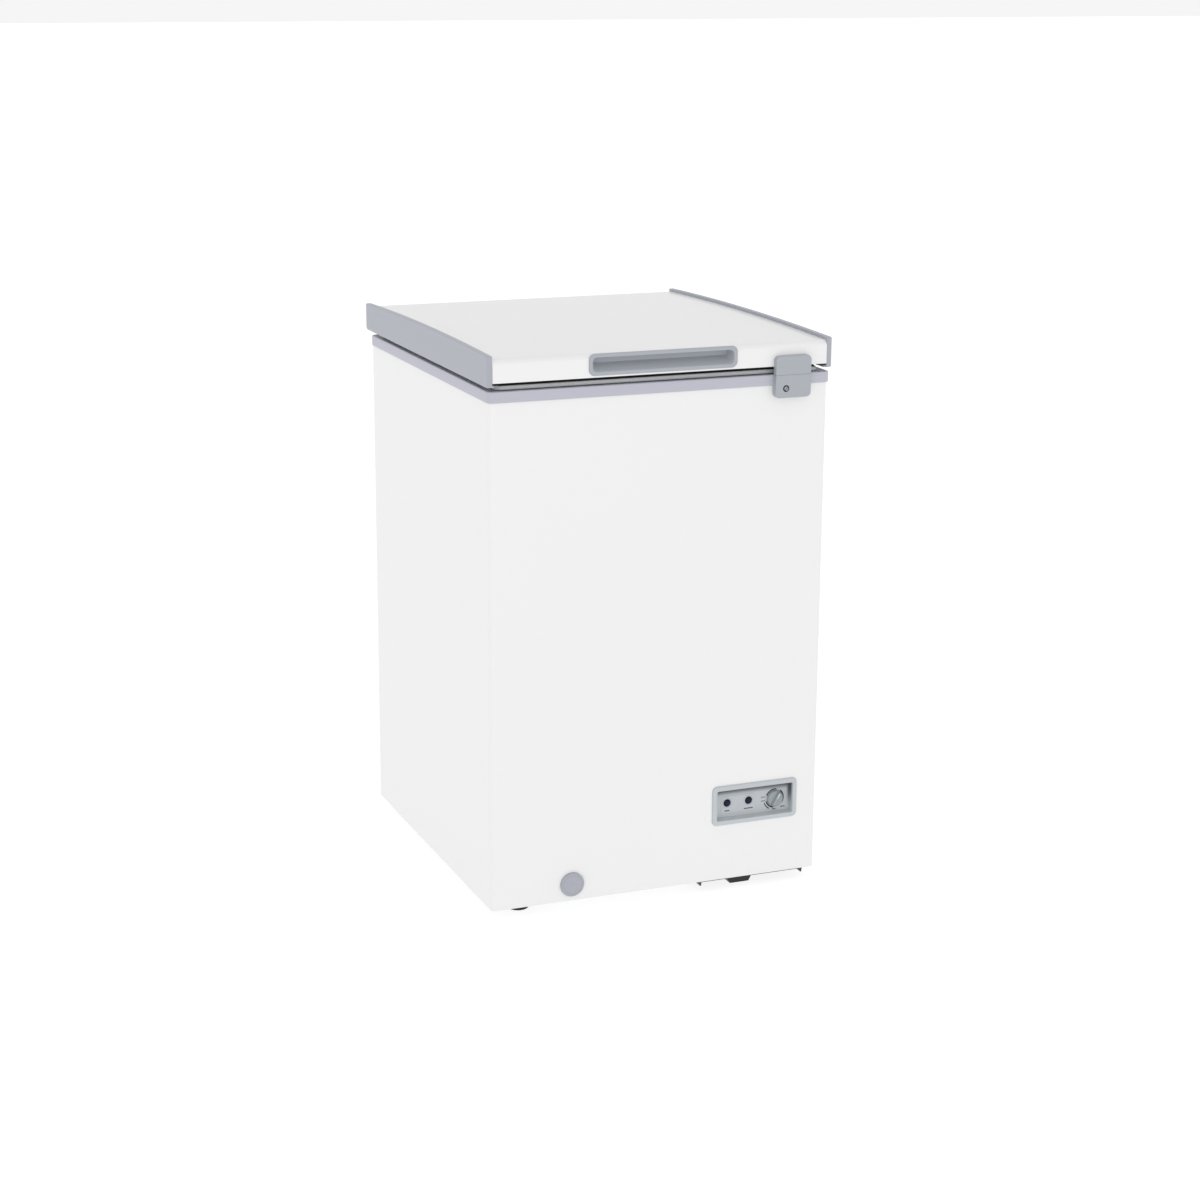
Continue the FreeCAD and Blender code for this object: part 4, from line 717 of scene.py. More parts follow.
    def with_modifier(self, kind: str, **settings: Any) -> "Workpiece":
        """Runs one modifier over the mesh and keeps its result.

        Args:
            kind: the modifier's type name.
            **settings: its properties.

        Returns:
            The workpiece.
        """
        holder = self.loose()
        modifier = holder.modifiers.new(kind.title(), kind)
        for name, value in settings.items():
            setattr(modifier, name, value)
        graph = bpy.context.evaluated_depsgraph_get()
        result = bpy.data.meshes.new_from_object(holder.evaluated_get(graph))
        self.bm.free()
        self.bm = bmesh.new()
        self.bm.from_mesh(result)
        bpy.data.objects.remove(holder)
        return self

    def loose(self) -> bpy.types.Object:
        """Returns the mesh as an object that belongs to no body yet."""
        mesh = bpy.data.meshes.new(self.name)
        self.bm.to_mesh(mesh)
        holder = bpy.data.objects.new(self.name, mesh)
        bpy.context.scene.collection.objects.link(holder)
        return holder

    def carve(self, other: "Workpiece", way: Carving = Carving.CUT) -> "Workpiece":
        """Cuts away or joins on another workpiece, which is used up."""
        tool = other.loose()
        self.with_modifier("BOOLEAN", object=tool, operation=way.value, solver="EXACT")
        bpy.data.objects.remove(tool)
        other.bm.free()
        return self

    def thicken(self, thickness: float) -> "Workpiece":
        """Gives an open sheet a wall behind its faces."""
        return self.with_modifier("SOLIDIFY", thickness=thickness, offset=-1.0, use_even_offset=True)

    def become(self, finish: Finish, body: Body, *nodes: str, sharp: float = 34.0) -> bpy.types.Object:
        """Makes the finished piece.

        Args:
            finish: its surface.
            body: the body that it moves with.
            *nodes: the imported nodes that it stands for.
            sharp: the angle in degrees from which an edge stays sharp.

        Returns:
            The piece.
        """
        piece = self.loose()
        self.bm.free()
        piece.data.shade_smooth()
        piece.data.set_sharp_from_angle(angle=math.radians(sharp))
        even = piece.modifiers.new("Even shading", "WEIGHTED_NORMAL")
        even.keep_sharp = True
        piece.data.materials.append(finish.material())
        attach(piece, body.value)
        if nodes:
            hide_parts(*nodes)
        LOG.info("piece %s on %s, %d faces", piece.name, body.value, len(piece.data.polygons))
        return piece


def corners_of(items: Iterable[Any]) -> list[bmesh.types.BMVert]:
    """Returns the vertices among a bmesh operator's results."""
    return [item for item in items if isinstance(item, bmesh.types.BMVert)]


def centre_of(node: str) -> Vector:
    """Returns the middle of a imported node's box."""
    low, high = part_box(node)
    return (low + high) / 2


def front_of(node: str) -> Vector:
    """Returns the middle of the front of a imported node's box."""
    middle = centre_of(node)
    return Vector((middle.x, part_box(node)[0].y, middle.z))


def rod(radius: float, start: float, end: float) -> list[tuple[float, float]]:
    """Returns the profile of a plain rod between two heights on its axis."""
    return [(0, start), (radius, start), (radius, end), (0, end)]


def along(edge: bmesh.types.BMEdge, axis: int) -> bool:
    """Returns whether an edge runs along one axis."""
    way = edge.verts[1].co - edge.verts[0].co
    return all(abs(way[i]) < SAME for i in range(3) if i != axis)


def corner_along(edge: bmesh.types.BMEdge, axis: int) -> bool:
    """Returns whether an edge runs along one axis and its faces meet at a sharp corner."""
    return along(edge, axis) and edge.calc_face_angle(0) > 1


def lies_at(edge: bmesh.types.BMEdge, axis: int, level: float) -> bool:
    """Returns whether both ends of an edge are at a level on one axis."""
    return all(abs(vert.co[axis] - level) < 10 * SAME for vert in edge.verts)


def middle_of(edge: bmesh.types.BMEdge) -> Vector:
    """Returns the middle point of an edge."""
    return (edge.verts[0].co + edge.verts[1].co) / 2


def dress(finish: Finish, *nodes: str) -> None:
    """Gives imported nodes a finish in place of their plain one."""
    for name in nodes:
        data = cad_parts[name].data
        data.materials.clear()
        data.materials.append(finish.material())
        LOG.info("dressed %s", name)


# ---------------------------------------------------------------- cabinet
@dataclass
class CabinetShell:
    """Painted wrap and the sheets and foam behind it."""

    corner: float = 6.0 * MM
    sheet: float = 0.8 * MM
    hem: float = 5.0 * MM
    window_clear: float = 0.3 * MM
    drain_bore: float = 10.3 * MM
    drain_reach: float = 12.0 * MM

    def build(self) -> None:
        """Makes the wrap and dresses its neighbours."""
        low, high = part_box("outer_wrap")
        wrap = Workpiece("painted_wrap")
        corners = [(low.x, high.y), (low.x, low.y), (high.x, low.y), (high.x, high.y)]
        verts = wrap.chain([(x, y, low.z) for x, y in corners])
        edges = list(dict.fromkeys(edge for vert in verts for edge in vert.link_edges))
        raised = bmesh.ops.extrude_edge_only(wrap.bm, edges=edges)["geom"]
        bmesh.ops.translate(wrap.bm, vec=(0, 0, high.z - low.z), verts=corners_of(raised))
        wrap.soften(lambda edge: along(edge, 2) and lies_at(edge, 1, low.y), self.corner, segments=10)
        wrap.away_from((low + high) / 2)
        self.turn_hem(wrap, low.z)
        wrap.thicken(self.sheet)
        wrap.carve(self.window())
        wrap.carve(self.drain_hole())
        wrap.become(WHITE_ENAMEL, Body.CABINET, "outer_wrap")
        dress(SHEET_ZINC, "rear_panel", "bottom_plate", "compartment_bulkhead", "rear_grille")
        dress(FOAM, "cabinet_foam")
        dress(BLACK_RUBBER, "cord_gland")
        dress(PLATED, "grille_screws", "condenser_tube")
        dress(LINER_WHITE, "drain_tube")

    def turn_hem(self, wrap: Workpiece, level: float) -> None:
        """Folds the wrap's lower edge inwards."""
        lower = [edge for edge in wrap.bm.edges if edge.is_boundary and lies_at(edge, 2, level)]
        folded = bmesh.ops.extrude_edge_only(wrap.bm, edges=lower)["geom"]
        wrap.bm.normal_update()
        fresh = corners_of(folded)
        for vert in fresh:
            beside = next(edge.other_vert(vert) for edge in vert.link_edges
                          if edge.other_vert(vert) not in fresh)
            vert.co -= Vector((beside.normal.x, beside.normal.y, 0)).normalized() * self.hem

    def window(self) -> Workpiece:
        """Returns the cutter for the control panel's window."""
        low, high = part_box("control_bezel")
        inset = ControlPanel.rim - ControlPanel.wall - self.window_clear
        return Workpiece("window").block((low.x + inset, low.y - MM, low.z + inset),
                                         (high.x - inset, high.y, high.z - inset))

    def drain_hole(self) -> Workpiece:
        """Returns the cutter for the drain outlet."""
        profile = rod(self.drain_bore, -self.drain_reach, self.drain_reach)
        return Workpiece("drain_hole").turned(profile, centre_of("drain_cap"), INWARD, steps=48)


@dataclass
class Collar:
    """Grey frame round the cabinet's mouth, with a sunk track for the seal."""

    wall: float = 2.4 * MM
    skirt: float = 12.0 * MM
    edge: float = 1.6 * MM
    track_in: float = 5.0 * MM
    track_sink: float = 0.6 * MM
    track_out: float = 7.0 * MM
    clear: float = 0.3 * MM
    tub_corner: float = 24.0 * MM

    def build(self) -> None:
        """Bridges the collar's closed profile."""
        low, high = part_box("collar_frame")
        wrap_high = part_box("outer_wrap")[1]
        out = high.x - wrap_high.x
        rim = Loop((low.x, low.y), (high.x, high.y), CabinetShell.corner + out, high.z)
        tub = tub_loop(high.z)
        edge, top, gap = self.edge, high.z, BUTTED * 5
        clear, slope = self.clear, self.track_sink
        inner = -self.wall - clear
        loops = [
            rim.grown(gap - out, low.z),
            rim.grown(-0.5 * MM, low.z),
            rim.grown(0, low.z + 0.5 * MM),
            rim.grown(0, top - edge),
            rim.grown(-0.3 * edge, top - 0.3 * edge),
            rim.grown(-edge, top),
            rim.grown(slope - self.track_in, top),
            rim.grown(-self.track_in, top - slope),
            tub.grown(self.track_out, top - slope),
            tub.grown(self.track_out - slope, top),
            tub.grown(edge + inner, top),
            tub.grown(0.3 * edge + inner, top - 0.3 * edge),
            tub.grown(inner, top - edge),
            tub.grown(inner, top - self.skirt),
            tub.grown(-clear, top - self.skirt),
            tub.grown(-clear, top - self.wall),
            rim.grown(-out - 2 * MM, top - self.wall),
            rim.grown(gap - out, wrap_high.z + gap),
        ]
        frame_piece = Workpiece("collar").skin(loops, Plane.FLOOR, closed=True, segments=8)
        frame_piece.become(COLLAR_GREY, Body.CABINET, "collar_frame", sharp=50)


def tub_loop(level: float) -> Loop:
    """Returns the tub's opening as a loop at one level."""
    low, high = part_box("collar_frame")
    wrap_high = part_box("outer_wrap")[1]
    inset = high.x - wrap_high.x + TUB_WALL
    return Loop((low.x + inset, low.y + inset), (high.x - inset, high.y - inset), Collar.tub_corner, level)


@dataclass
class TubLiner:
    """White tub with soft corners and a step over the compressor."""

    sheet: float = 1.2 * MM
    floor_fillet: float = 16.0 * MM
    step_x: float = 40.0 * MM
    step_z: float = 290.0 * MM

    def build(self) -> None:
        """Shapes the tub's inside and gives it a wall outwards."""
        low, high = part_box("inner_liner")
        top = high.z
        opening = tub_loop(top)
        tub = Workpiece("tub_liner").block((*opening.low, self.step_z), (*opening.high, top))
        shelf = Vector((self.step_x, 0, self.step_z))
        floor = [face for face in tub.bm.faces if face.normal.z < -0.5]
        bmesh.ops.bisect_plane(tub.bm, geom=floor + list(floor[0].edges) + list(floor[0].verts),
                               plane_co=shelf, plane_no=(1, 0, 0))
        deep = [face for face in tub.bm.faces
                if face.normal.z < -0.5 and face.calc_center_median().x < self.step_x]
        sunk = bmesh.ops.extrude_face_region(tub.bm, geom=deep)["geom"]
        verts = corners_of(sunk)
        bmesh.ops.delete(tub.bm, geom=deep, context="FACES_ONLY")
        bmesh.ops.translate(tub.bm, vec=(0, 0, low.z + self.sheet - self.step_z), verts=verts)
        bmesh.ops.remove_doubles(tub.bm, verts=list(tub.bm.verts), dist=SAME)
        bmesh.ops.dissolve_limit(tub.bm, angle_limit=math.radians(1), verts=list(tub.bm.verts),
                                 edges=list(tub.bm.edges))
        tub.outwards()
        tub.soften(lambda edge: corner_along(edge, 2), Collar.tub_corner - MM, segments=8)
        tub.soften(lambda edge: middle_of(edge).z < top - MM and edge.calc_face_angle(0) > 1,
                   self.floor_fillet, segments=6)
        mouth = [face for face in tub.bm.faces
                 if face.normal.z > 0.9 and abs(face.calc_center_median().z - top) < 10 * SAME]
        bmesh.ops.delete(tub.bm, geom=mouth, context="FACES")
        bmesh.ops.reverse_faces(tub.bm, faces=list(tub.bm.faces))
        tub.thicken(self.sheet)
        tub.become(LINER_WHITE, Body.CABINET, "inner_liner", sharp=50)


@dataclass
class Feet:
    """Two rubber feet on the left and the pressed tray on the right."""

    groove: float = 1.2 * MM
    sheet: float = 1.5 * MM
    flange: float = 8.0 * MM
    nose: float = 2.0 * MM
    press_top: float = 49.0 * MM
    press_low: float = 32.0 * MM
    press_front: float = 20.0 * MM
    press_deep: float = 42.0 * MM
    press_in: float = 117.0 * MM

    def build(self) -> None:
        """Makes the feet and the tray."""
        self.rubber_feet()
        self.tray()

    def rubber_feet(self) -> None:
        """Spins both grooved feet."""
        low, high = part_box("rubber_feet")
        r = (high.x - low.x) / 2
        tall = high.z - BUTTED
        feet = Workpiece("rubber_feet_turned")
        waist = r - 1.4 * MM
        profile = [(0, 0.6 * MM), (6 * MM, 0.6 * MM), (8 * MM, 0), (r - 3.5 * MM, 0),
                   (r - 2.2 * MM, 0.8 * MM), (waist, 5 * MM), (waist - self.groove, 6 * MM),
                   (waist - self.groove, 7.4 * MM), (r - 0.6 * MM, 8.2 * MM), (r, tall - MM),
                   (r, tall), (0, tall)]
        for y in (low.y + r, high.y - r):
            feet.turned(profile, Vector(((low.x + high.x) / 2, y, 0)), UP, steps=48)
        feet.become(BLACK_RUBBER, Body.CABINET, "rubber_feet")

    def tray(self) -> None:
        """Makes the flanged tray with its two pressed feet."""
        low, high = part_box("compressor_tray")
        wrap_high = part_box("outer_wrap")[1]
        top, under = high.z - BUTTED, high.z - self.sheet
        sheet, drop = self.sheet, high.z - self.flange
        tray = Workpiece("pressed_tray").block((low.x, low.y, under), (high.x, high.y, top))
        for x0, x1 in ((low.x, low.x + sheet), (high.x - sheet, high.x)):
            side = Workpiece("side").block((x0, low.y, drop), (x1, high.y, top))
            for vert in side.bm.verts:
                if vert.co.z < drop + SAME:
                    vert.co.y -= math.copysign(self.nose, vert.co.y)
            tray.carve(side, Carving.JOIN)
        middle = wrap_high.x - self.press_in
        starts = (low.y - sheet + self.press_front, high.y + sheet - self.press_front - self.press_deep)
        for y in starts:
            tray.carve(self.pressing(middle, y, under + 0.3 * MM), Carving.JOIN)
        bmesh.ops.remove_doubles(tray.bm, verts=list(tray.bm.verts), dist=0.005 * MM)
        tray.become(BLACK_PAINT, Body.CABINET, "compressor_tray")

    def pressing(self, middle: float, y: float, top: float) -> Workpiece:
        """Returns one tapered foot, open to the front.

        Args:
            middle: its middle along X.
            y: its front along Y.
            top: where it meets the tray.

        Returns:
            The foot.
        """
        foot = Workpiece("pressing").block((middle - self.press_top / 2, y, 0),
                                           (middle + self.press_top / 2, y + self.press_deep, top))
        share = self.press_low / self.press_top
        for vert in foot.bm.verts:
            if vert.co.z < SAME:
                vert.co.x = middle + (vert.co.x - middle) * share
        foot.soften(lambda edge: middle_of(edge).z < top - MM and not lies_at(edge, 1, y + self.press_deep),
                    1.6 * MM, segments=3)
        return foot


@dataclass
class CompressorGear:
    """Compressor, its mountings and the tubes behind the rear grille."""

    def build(self) -> None:
        """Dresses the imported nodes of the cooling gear."""
        dress(BLACK_PAINT, "compressor_shell", "compressor_foot_plate")
        dress(BLACK_RUBBER, "compressor_grommets")
        dress(PLATED, "compressor_bolts")
        dress(DARK_PLASTIC, "start_relay_cover")
        dress(COPPER, "filter_drier", "suction_tube", "discharge_tube", "evaporator_tube")


# ---------------------------------------------------------------- lid
@dataclass
class Lid:
    """Arched painted lid with its grey side covers, lining and seal."""

    arch_radius: float = 9540.0 * MM
    arch_ahead: float = 49.0 * MM
    arch_steps: int = 40
    panel_corner: float = 9.0 * MM
    sheet: float = 1.0 * MM
    hem: float = 7.0 * MM
    cover_edge: float = 1.5 * MM
    cover_lip: float = 4.0 * MM
    cover_wall: float = 2.5 * MM
    lining_sheet: float = 1.4 * MM
    dome_gap: float = 22.0 * MM
    seal_wide: float = 20.0 * MM
    seal_bulb: float = 6.0 * MM

    def build(self) -> None:
        """Makes every piece of the lid itself."""
        self.panel()
        for side, node in ((-1, "lid_cover_left"), (1, "lid_cover_right")):
            self.cover(side, node)
        self.lining()
        self.seal()
        dress(FOAM, "lid_foam")

    def arch(self, work: Workpiece, x: float, low: Vector, high: Vector) -> list[bmesh.types.BMEdge]:
        """Draws the lid's side outline without its lower edge.

        Args:
            work: the workpiece to draw in.
            x: the outline's place across the lid.
            low: the lowest corner of the piece's box.
            high: the highest corner of the piece's box.

        Returns:
            The outline's edges.
        """
        crest = (low.y + high.y) / 2 - self.arch_ahead
        centre = Vector((x, crest, high.z - self.arch_radius))
        lean = [math.asin((y - crest) / self.arch_radius) for y in (low.y, high.y)]
        start = Vector((x, low.y, centre.z + self.arch_radius * math.cos(lean[0])))
        first = work.bm.verts.new(start)
        bmesh.ops.spin(work.bm, geom=[first], cent=centre, axis=(1, 0, 0), angle=lean[0] - lean[1],
                       steps=self.arch_steps)
        chain = sorted(work.bm.verts, key=lambda vert: vert.co.y)
        work.bm.edges.new((work.bm.verts.new((x, low.y, low.z)), chain[0]))
        work.bm.edges.new((chain[-1], work.bm.verts.new((x, chain[-1].co.y, low.z))))
        return list(work.bm.edges)

    def panel(self) -> None:
        """Makes the white arched panel, hemmed below, with the handle's window."""
        low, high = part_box("lid_outer_panel")
        panel = Workpiece("lid_panel")
        edges = self.arch(panel, low.x, low, high)
        drawn = bmesh.ops.extrude_edge_only(panel.bm, edges=edges)["geom"]
        bmesh.ops.translate(panel.bm, vec=(high.x - low.x, 0, 0), verts=corners_of(drawn))
        panel.soften(lambda edge: corner_along(edge, 0), self.panel_corner, segments=10)
        panel.away_from((low + high) / 2)
        for y, inward in ((low.y, 1), (high.y, -1)):
            hem = [edge for edge in panel.bm.edges if along(edge, 0) and lies_at(edge, 2, low.z)
                   and abs(middle_of(edge).y - y) < MM]
            folded = bmesh.ops.extrude_edge_only(panel.bm, edges=hem)["geom"]
            bmesh.ops.translate(panel.bm, vec=(0, inward * self.hem, 0), verts=corners_of(folded))
        panel.thicken(self.sheet)
        grip_low, grip_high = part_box("handle_insert")
        inset = Handle.rim - Handle.wall - 0.2 * MM
        window = Workpiece("handle_window").block(
            (grip_low.x + inset, grip_low.y - MM, grip_low.z + inset),
            (grip_high.x - inset, low.y + self.panel_corner, grip_high.z - inset))
        panel.carve(window)
        panel.become(WHITE_ENAMEL, Body.LID, "lid_outer_panel")

    def cover(self, side: int, node: str) -> None:
        """Makes one grey side cover.

        Args:
            side: -1 for the left and 1 for the right.
            node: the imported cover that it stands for.
        """
        low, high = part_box(node)
        panel_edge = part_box("lid_outer_panel")[1].x + 0.2 * MM
        outer = high.x if side > 0 else low.x
        inner = panel_edge * side
        cover = Workpiece(f"side_{node}")
        edges = self.arch(cover, inner, low, high)
        ends = [vert for vert in cover.bm.verts if abs(vert.co.z - low.z) < SAME]
        edges.append(cover.bm.edges.new(ends))
        face = bmesh.ops.contextual_create(cover.bm, geom=edges)["faces"]
        drawn = bmesh.ops.extrude_face_region(cover.bm, geom=face)["geom"]
        bmesh.ops.translate(cover.bm, vec=(outer - inner, 0, 0), verts=corners_of(drawn))
        cover.outwards()
        rear = high.y - 2 * MM
        cover.soften(lambda edge: corner_along(edge, 0) and middle_of(edge).y > rear
                     and middle_of(edge).z < low.z + MM, 6 * MM, segments=8)
        cover.soften(lambda edge: corner_along(edge, 0), 2.6 * MM, segments=5)
        cover.soften(lambda edge: lies_at(edge, 0, outer), self.cover_edge, segments=4)
        cover.soften(lambda edge: lies_at(edge, 0, inner), 0.6 * MM, segments=2)
        span = sorted((inner - side * self.cover_lip, inner + side * MM))
        lip = Workpiece("lip").block((span[0], low.y + self.cover_wall, low.z + 0.05 * MM),
                                     (span[1], high.y - 9 * MM, low.z + self.cover_wall))
        lip.soften(lambda edge: lies_at(edge, 0, inner - side * self.cover_lip), 0.8 * MM, segments=3)
        cover.carve(lip, Carving.JOIN)
        cover.become(COVER_GREY, Body.LID, node, sharp=40)

    def lining(self) -> None:
        """Makes the formed white panel under the lid."""
        low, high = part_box("lid_inner_panel")
        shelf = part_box("lid_outer_panel")[0].z
        dome = tub_loop(low.z).grown(-self.dome_gap, low.z, Collar.tub_corner)
        plate = Loop((low.x, low.y), (high.x, high.y), 1.5 * MM, shelf)
        rise = ((9, 0), (2.2, 0.8), (0.4, 2.6))
        fall = ((-0.4, 3.2), (-1.6, 1), (-4.2, 0))
        bead = ((-30, 0, 16), (-31.4, 1.1, 15), (-33, 1.6, 14),
                (-37, 1.6, 12), (-38.6, 1.1, 11), (-40, 0, 10))
        loops = [plate]
        loops += [dome.grown(out * MM, shelf - down * MM) for out, down in rise]
        loops += [dome.grown(out * MM, low.z + up * MM) for out, up in fall]
        loops += [dome.grown(out * MM, low.z - down * MM, corner * MM) for out, down, corner in bead]
        lining = Workpiece("lid_lining").skin(loops, Plane.FLOOR, last=True, segments=8)
        lining.away_from(Vector((0, 0, high.z + 0.1)))
        lining.thicken(self.lining_sheet)
        lining.become(LINER_WHITE, Body.LID, "lid_inner_panel", sharp=50)

    def seal(self) -> None:
        """Makes the pleated seal with its soft bulb."""
        low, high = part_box("lid_gasket")
        outer = Loop((low.x, low.y), (high.x, high.y), 12 * MM, low.z)
        bulb = low.z + self.seal_bulb
        half = [(1.4, low.z), (0.3, low.z + 0.5 * MM), (0.0, low.z + 1.6 * MM), (0.0, bulb - 1.6 * MM),
                (0.6, bulb - 0.4 * MM), (2.0, bulb), (4.2, bulb + 0.4 * MM), (3.4, bulb + 1.5 * MM),
                (4.4, bulb + 2.7 * MM), (3.4, bulb + 3.9 * MM), (4.2, high.z - 0.3 * MM),
                (4.2, high.z - BUTTED)]
        loops = [outer.grown(-inset * MM, z) for inset, z in half]
        loops += [outer.grown(inset * MM - self.seal_wide, z, 3 * MM) for inset, z in reversed(half)]
        seal = Workpiece("lid_seal").skin(loops, Plane.FLOOR, closed=True, segments=8)
        # the seal's dark neck is painted shade, not a second colour of rubber
        shaded_seal_finish = Vinyl("seal with painted neck shade", Slot.SEAL, tint(196, 198, 199), tint(24, 24, 25), bulb)
        seal.become(shaded_seal_finish, Body.LID, "lid_gasket", sharp=60)


@dataclass
class Handle:
    """Grey handle moulding with a sloping finger pocket."""

    rim: float = 6.0 * MM
    wall: float = 1.6 * MM
    corner: float = 9.0 * MM
    proud: float = 2.0 * MM
    deep: float = 15.0 * MM
    draft: float = 5.0 * MM
    edge: float = 1.0 * MM

    def build(self) -> None:
        """Bridges the handle from its pocket floor round the rim to its back."""
        low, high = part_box("handle_insert")
        face, seat = low.y, low.y + self.proud
        outline = Loop((low.x, low.z), (high.x, high.z), self.corner, face)
        mouth = outline.grown(-self.rim, face, 6 * MM)
        floor = seat + self.deep
        rise = (mouth.high[1] - mouth.low[1]) / 2
        well = Loop((mouth.low[0] + self.draft, mouth.low[1] + rise),
                    (mouth.high[0] - self.draft, mouth.high[1] - 0.6 * MM), 3.2 * MM, floor)
        brow = Loop((mouth.low[0] + 0.8 * MM, mouth.low[1] + 1.6 * MM),
                    (mouth.high[0] - 0.8 * MM, mouth.high[1] - 0.3 * MM), 5.4 * MM, seat + MM)
        wall = self.wall
        loops = [
            well.grown(-1.4 * MM, floor),
            well.grown(-0.4 * MM, floor - 0.4 * MM),
            well.grown(0, floor - 1.4 * MM),
            brow,
            mouth.grown(0.2 * MM, face + 0.9 * MM),
            mouth.grown(0.5 * MM, face + 0.3 * MM),
            mouth.grown(1.2 * MM, face),
            outline.grown(-self.edge * 1.4, face),
            outline.grown(-self.edge * 0.4, face + self.edge * 0.4),
            outline.grown(0, face + self.edge * 1.3),
            outline.grown(0, seat - BUTTED),
            mouth.grown(wall - 0.5 * MM, seat - BUTTED, 3 * MM),
            brow.grown(wall - 0.5 * MM, seat + 1.4 * MM),
            well.grown(wall - 0.3 * MM, floor + wall),
        ]
        grip = Workpiece("lid_handle").skin(loops, Plane.FRONT, first=True, last=True, segments=8)
        grip.become(LOCK_GREY, Body.LID, "handle_insert", sharp=50)


@dataclass
class Lock:
    """Keyed lock: housing and barrel on the cabinet, catch with a tongue on the lid."""

    corner: float = 7.0 * MM
    edge: float = 1.1 * MM
    wall: float = 3.2 * MM
    barrel: float = 5.0 * MM
    ledge: float = 1.9 * MM
    tongue: float = 2.4 * MM
    stem_at: float = 18.6 * MM
    hook_at: float = 5.5 * MM
    slot_half: float = 0.65 * MM
    slot_reach: float = 2.7 * MM
    slot_deep: float = 2.2 * MM
    slot_slant: float = -45.0

    def build(self) -> None:
        """Makes the three visible lock pieces and dresses the cam."""
        self.housing()
        self.catch()
        self.key_barrel()
        dress(PLATED, "lock_cam")

    def plate(self, name: str, low: Vector, high: Vector, rounded_up: bool) -> Workpiece:
        """Returns a block with two round corners and a soft face.

        Args:
            name: the workpiece's name.
            low: its lowest corner.
            high: its highest corner.
            rounded_up: whether the upper corners are the round ones.

        Returns:
            The block.
        """
        work = Workpiece(name).block(tuple(low), tuple(high))
        level = high.z if rounded_up else low.z
        work.soften(lambda edge: along(edge, 1) and lies_at(edge, 2, level), self.corner, segments=8)
        parting = low.z if rounded_up else high.z
        work.soften(lambda edge: lies_at(edge, 1, low.y) and not lies_at(edge, 2, parting),
                    self.edge, segments=4)
        return work

    def housing(self) -> None:
        """Makes the lower half with its bore, its slot and a seat over the collar."""
        low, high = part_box("lock_housing")
        collar_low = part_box("collar_frame")[0]
        key = centre_of("lock_barrel")
        work = self.plate("lock_body", low, high, rounded_up=False)
        seat = collar_low.y - 0.1 * MM
        work.carve(Workpiece("seat").block((low.x - MM, seat, collar_low.z - 0.1 * MM),
                                           (high.x + MM, high.y + MM, high.z + MM)))
        work.carve(Workpiece("slot").block(
            (key.x - 5 * MM, low.y + self.wall, low.z + self.wall),
            (high.x - 2 * self.wall, seat - 1.2 * MM, high.z + MM)))
        profile = rod(self.barrel + 0.06 * MM, -2 * MM, 2 * self.wall)
        work.carve(Workpiece("bore").turned(profile, Vector((key.x, low.y, key.z)), INWARD, steps=40))
        work.become(LOCK_GREY, Body.CABINET, "lock_housing")

    def catch(self) -> None:
        """Makes the upper half and the hooked tongue below it."""
        low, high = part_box("lock_catch")
        key = centre_of("lock_barrel")
        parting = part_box("lock_housing")[1].z + 0.3 * MM
        work = self.plate("lock_catch_plate", Vector((low.x, low.y, parting)), high, rounded_up=True)
        mid = centre_of("lock_cam").y
        front, back = mid - self.tongue / 2, mid + self.tongue / 2
        stem, foot = key.x + self.stem_at, low.z
        tip = high.x - 2 * self.wall - 0.8 * MM
        tongue = Workpiece("stem").block((stem, front, foot), (tip, back, parting + MM))
        hook = Workpiece("hook").block((key.x + self.hook_at, front, foot), (stem + MM, back, foot + 6 * MM))
        tongue.carve(hook, Carving.JOIN)
        work.carve(tongue, Carving.JOIN)
        work.become(LOCK_GREY, Body.LID, "lock_catch")

    def key_barrel(self) -> None:
        """Spins the barrel and cuts its slanted key slot."""
        low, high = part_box("lock_barrel")
        centre = front_of("lock_barrel")
        boss = self.barrel - self.ledge
        long = high.y - low.y
        profile = [(0, 0), (boss - 0.3 * MM, 0), (boss, 0.3 * MM), (boss, 2.6 * MM), (self.barrel, 2.6 * MM),
                   (self.barrel, long - BUTTED), (0, long - BUTTED)]
        work = Workpiece("key_barrel").turned(profile, centre, INWARD, steps=40)
        slot = Workpiece("key_slot").block((-self.slot_reach, -MM, -self.slot_half),
                                           (self.slot_reach, self.slot_deep, self.slot_half))
        work.carve(slot.placed(Matrix.Rotation(math.radians(self.slot_slant), 3, "Y"), centre))
        # the barrel's dark groove ring is painted shade
        metal = BarrelFace("key barrel metal with painted groove shade", Slot.STEEL, tint(168, 170, 174), 0.4, 0.5, centre, boss)
        work.become(metal, Body.LOCK, "lock_barrel")


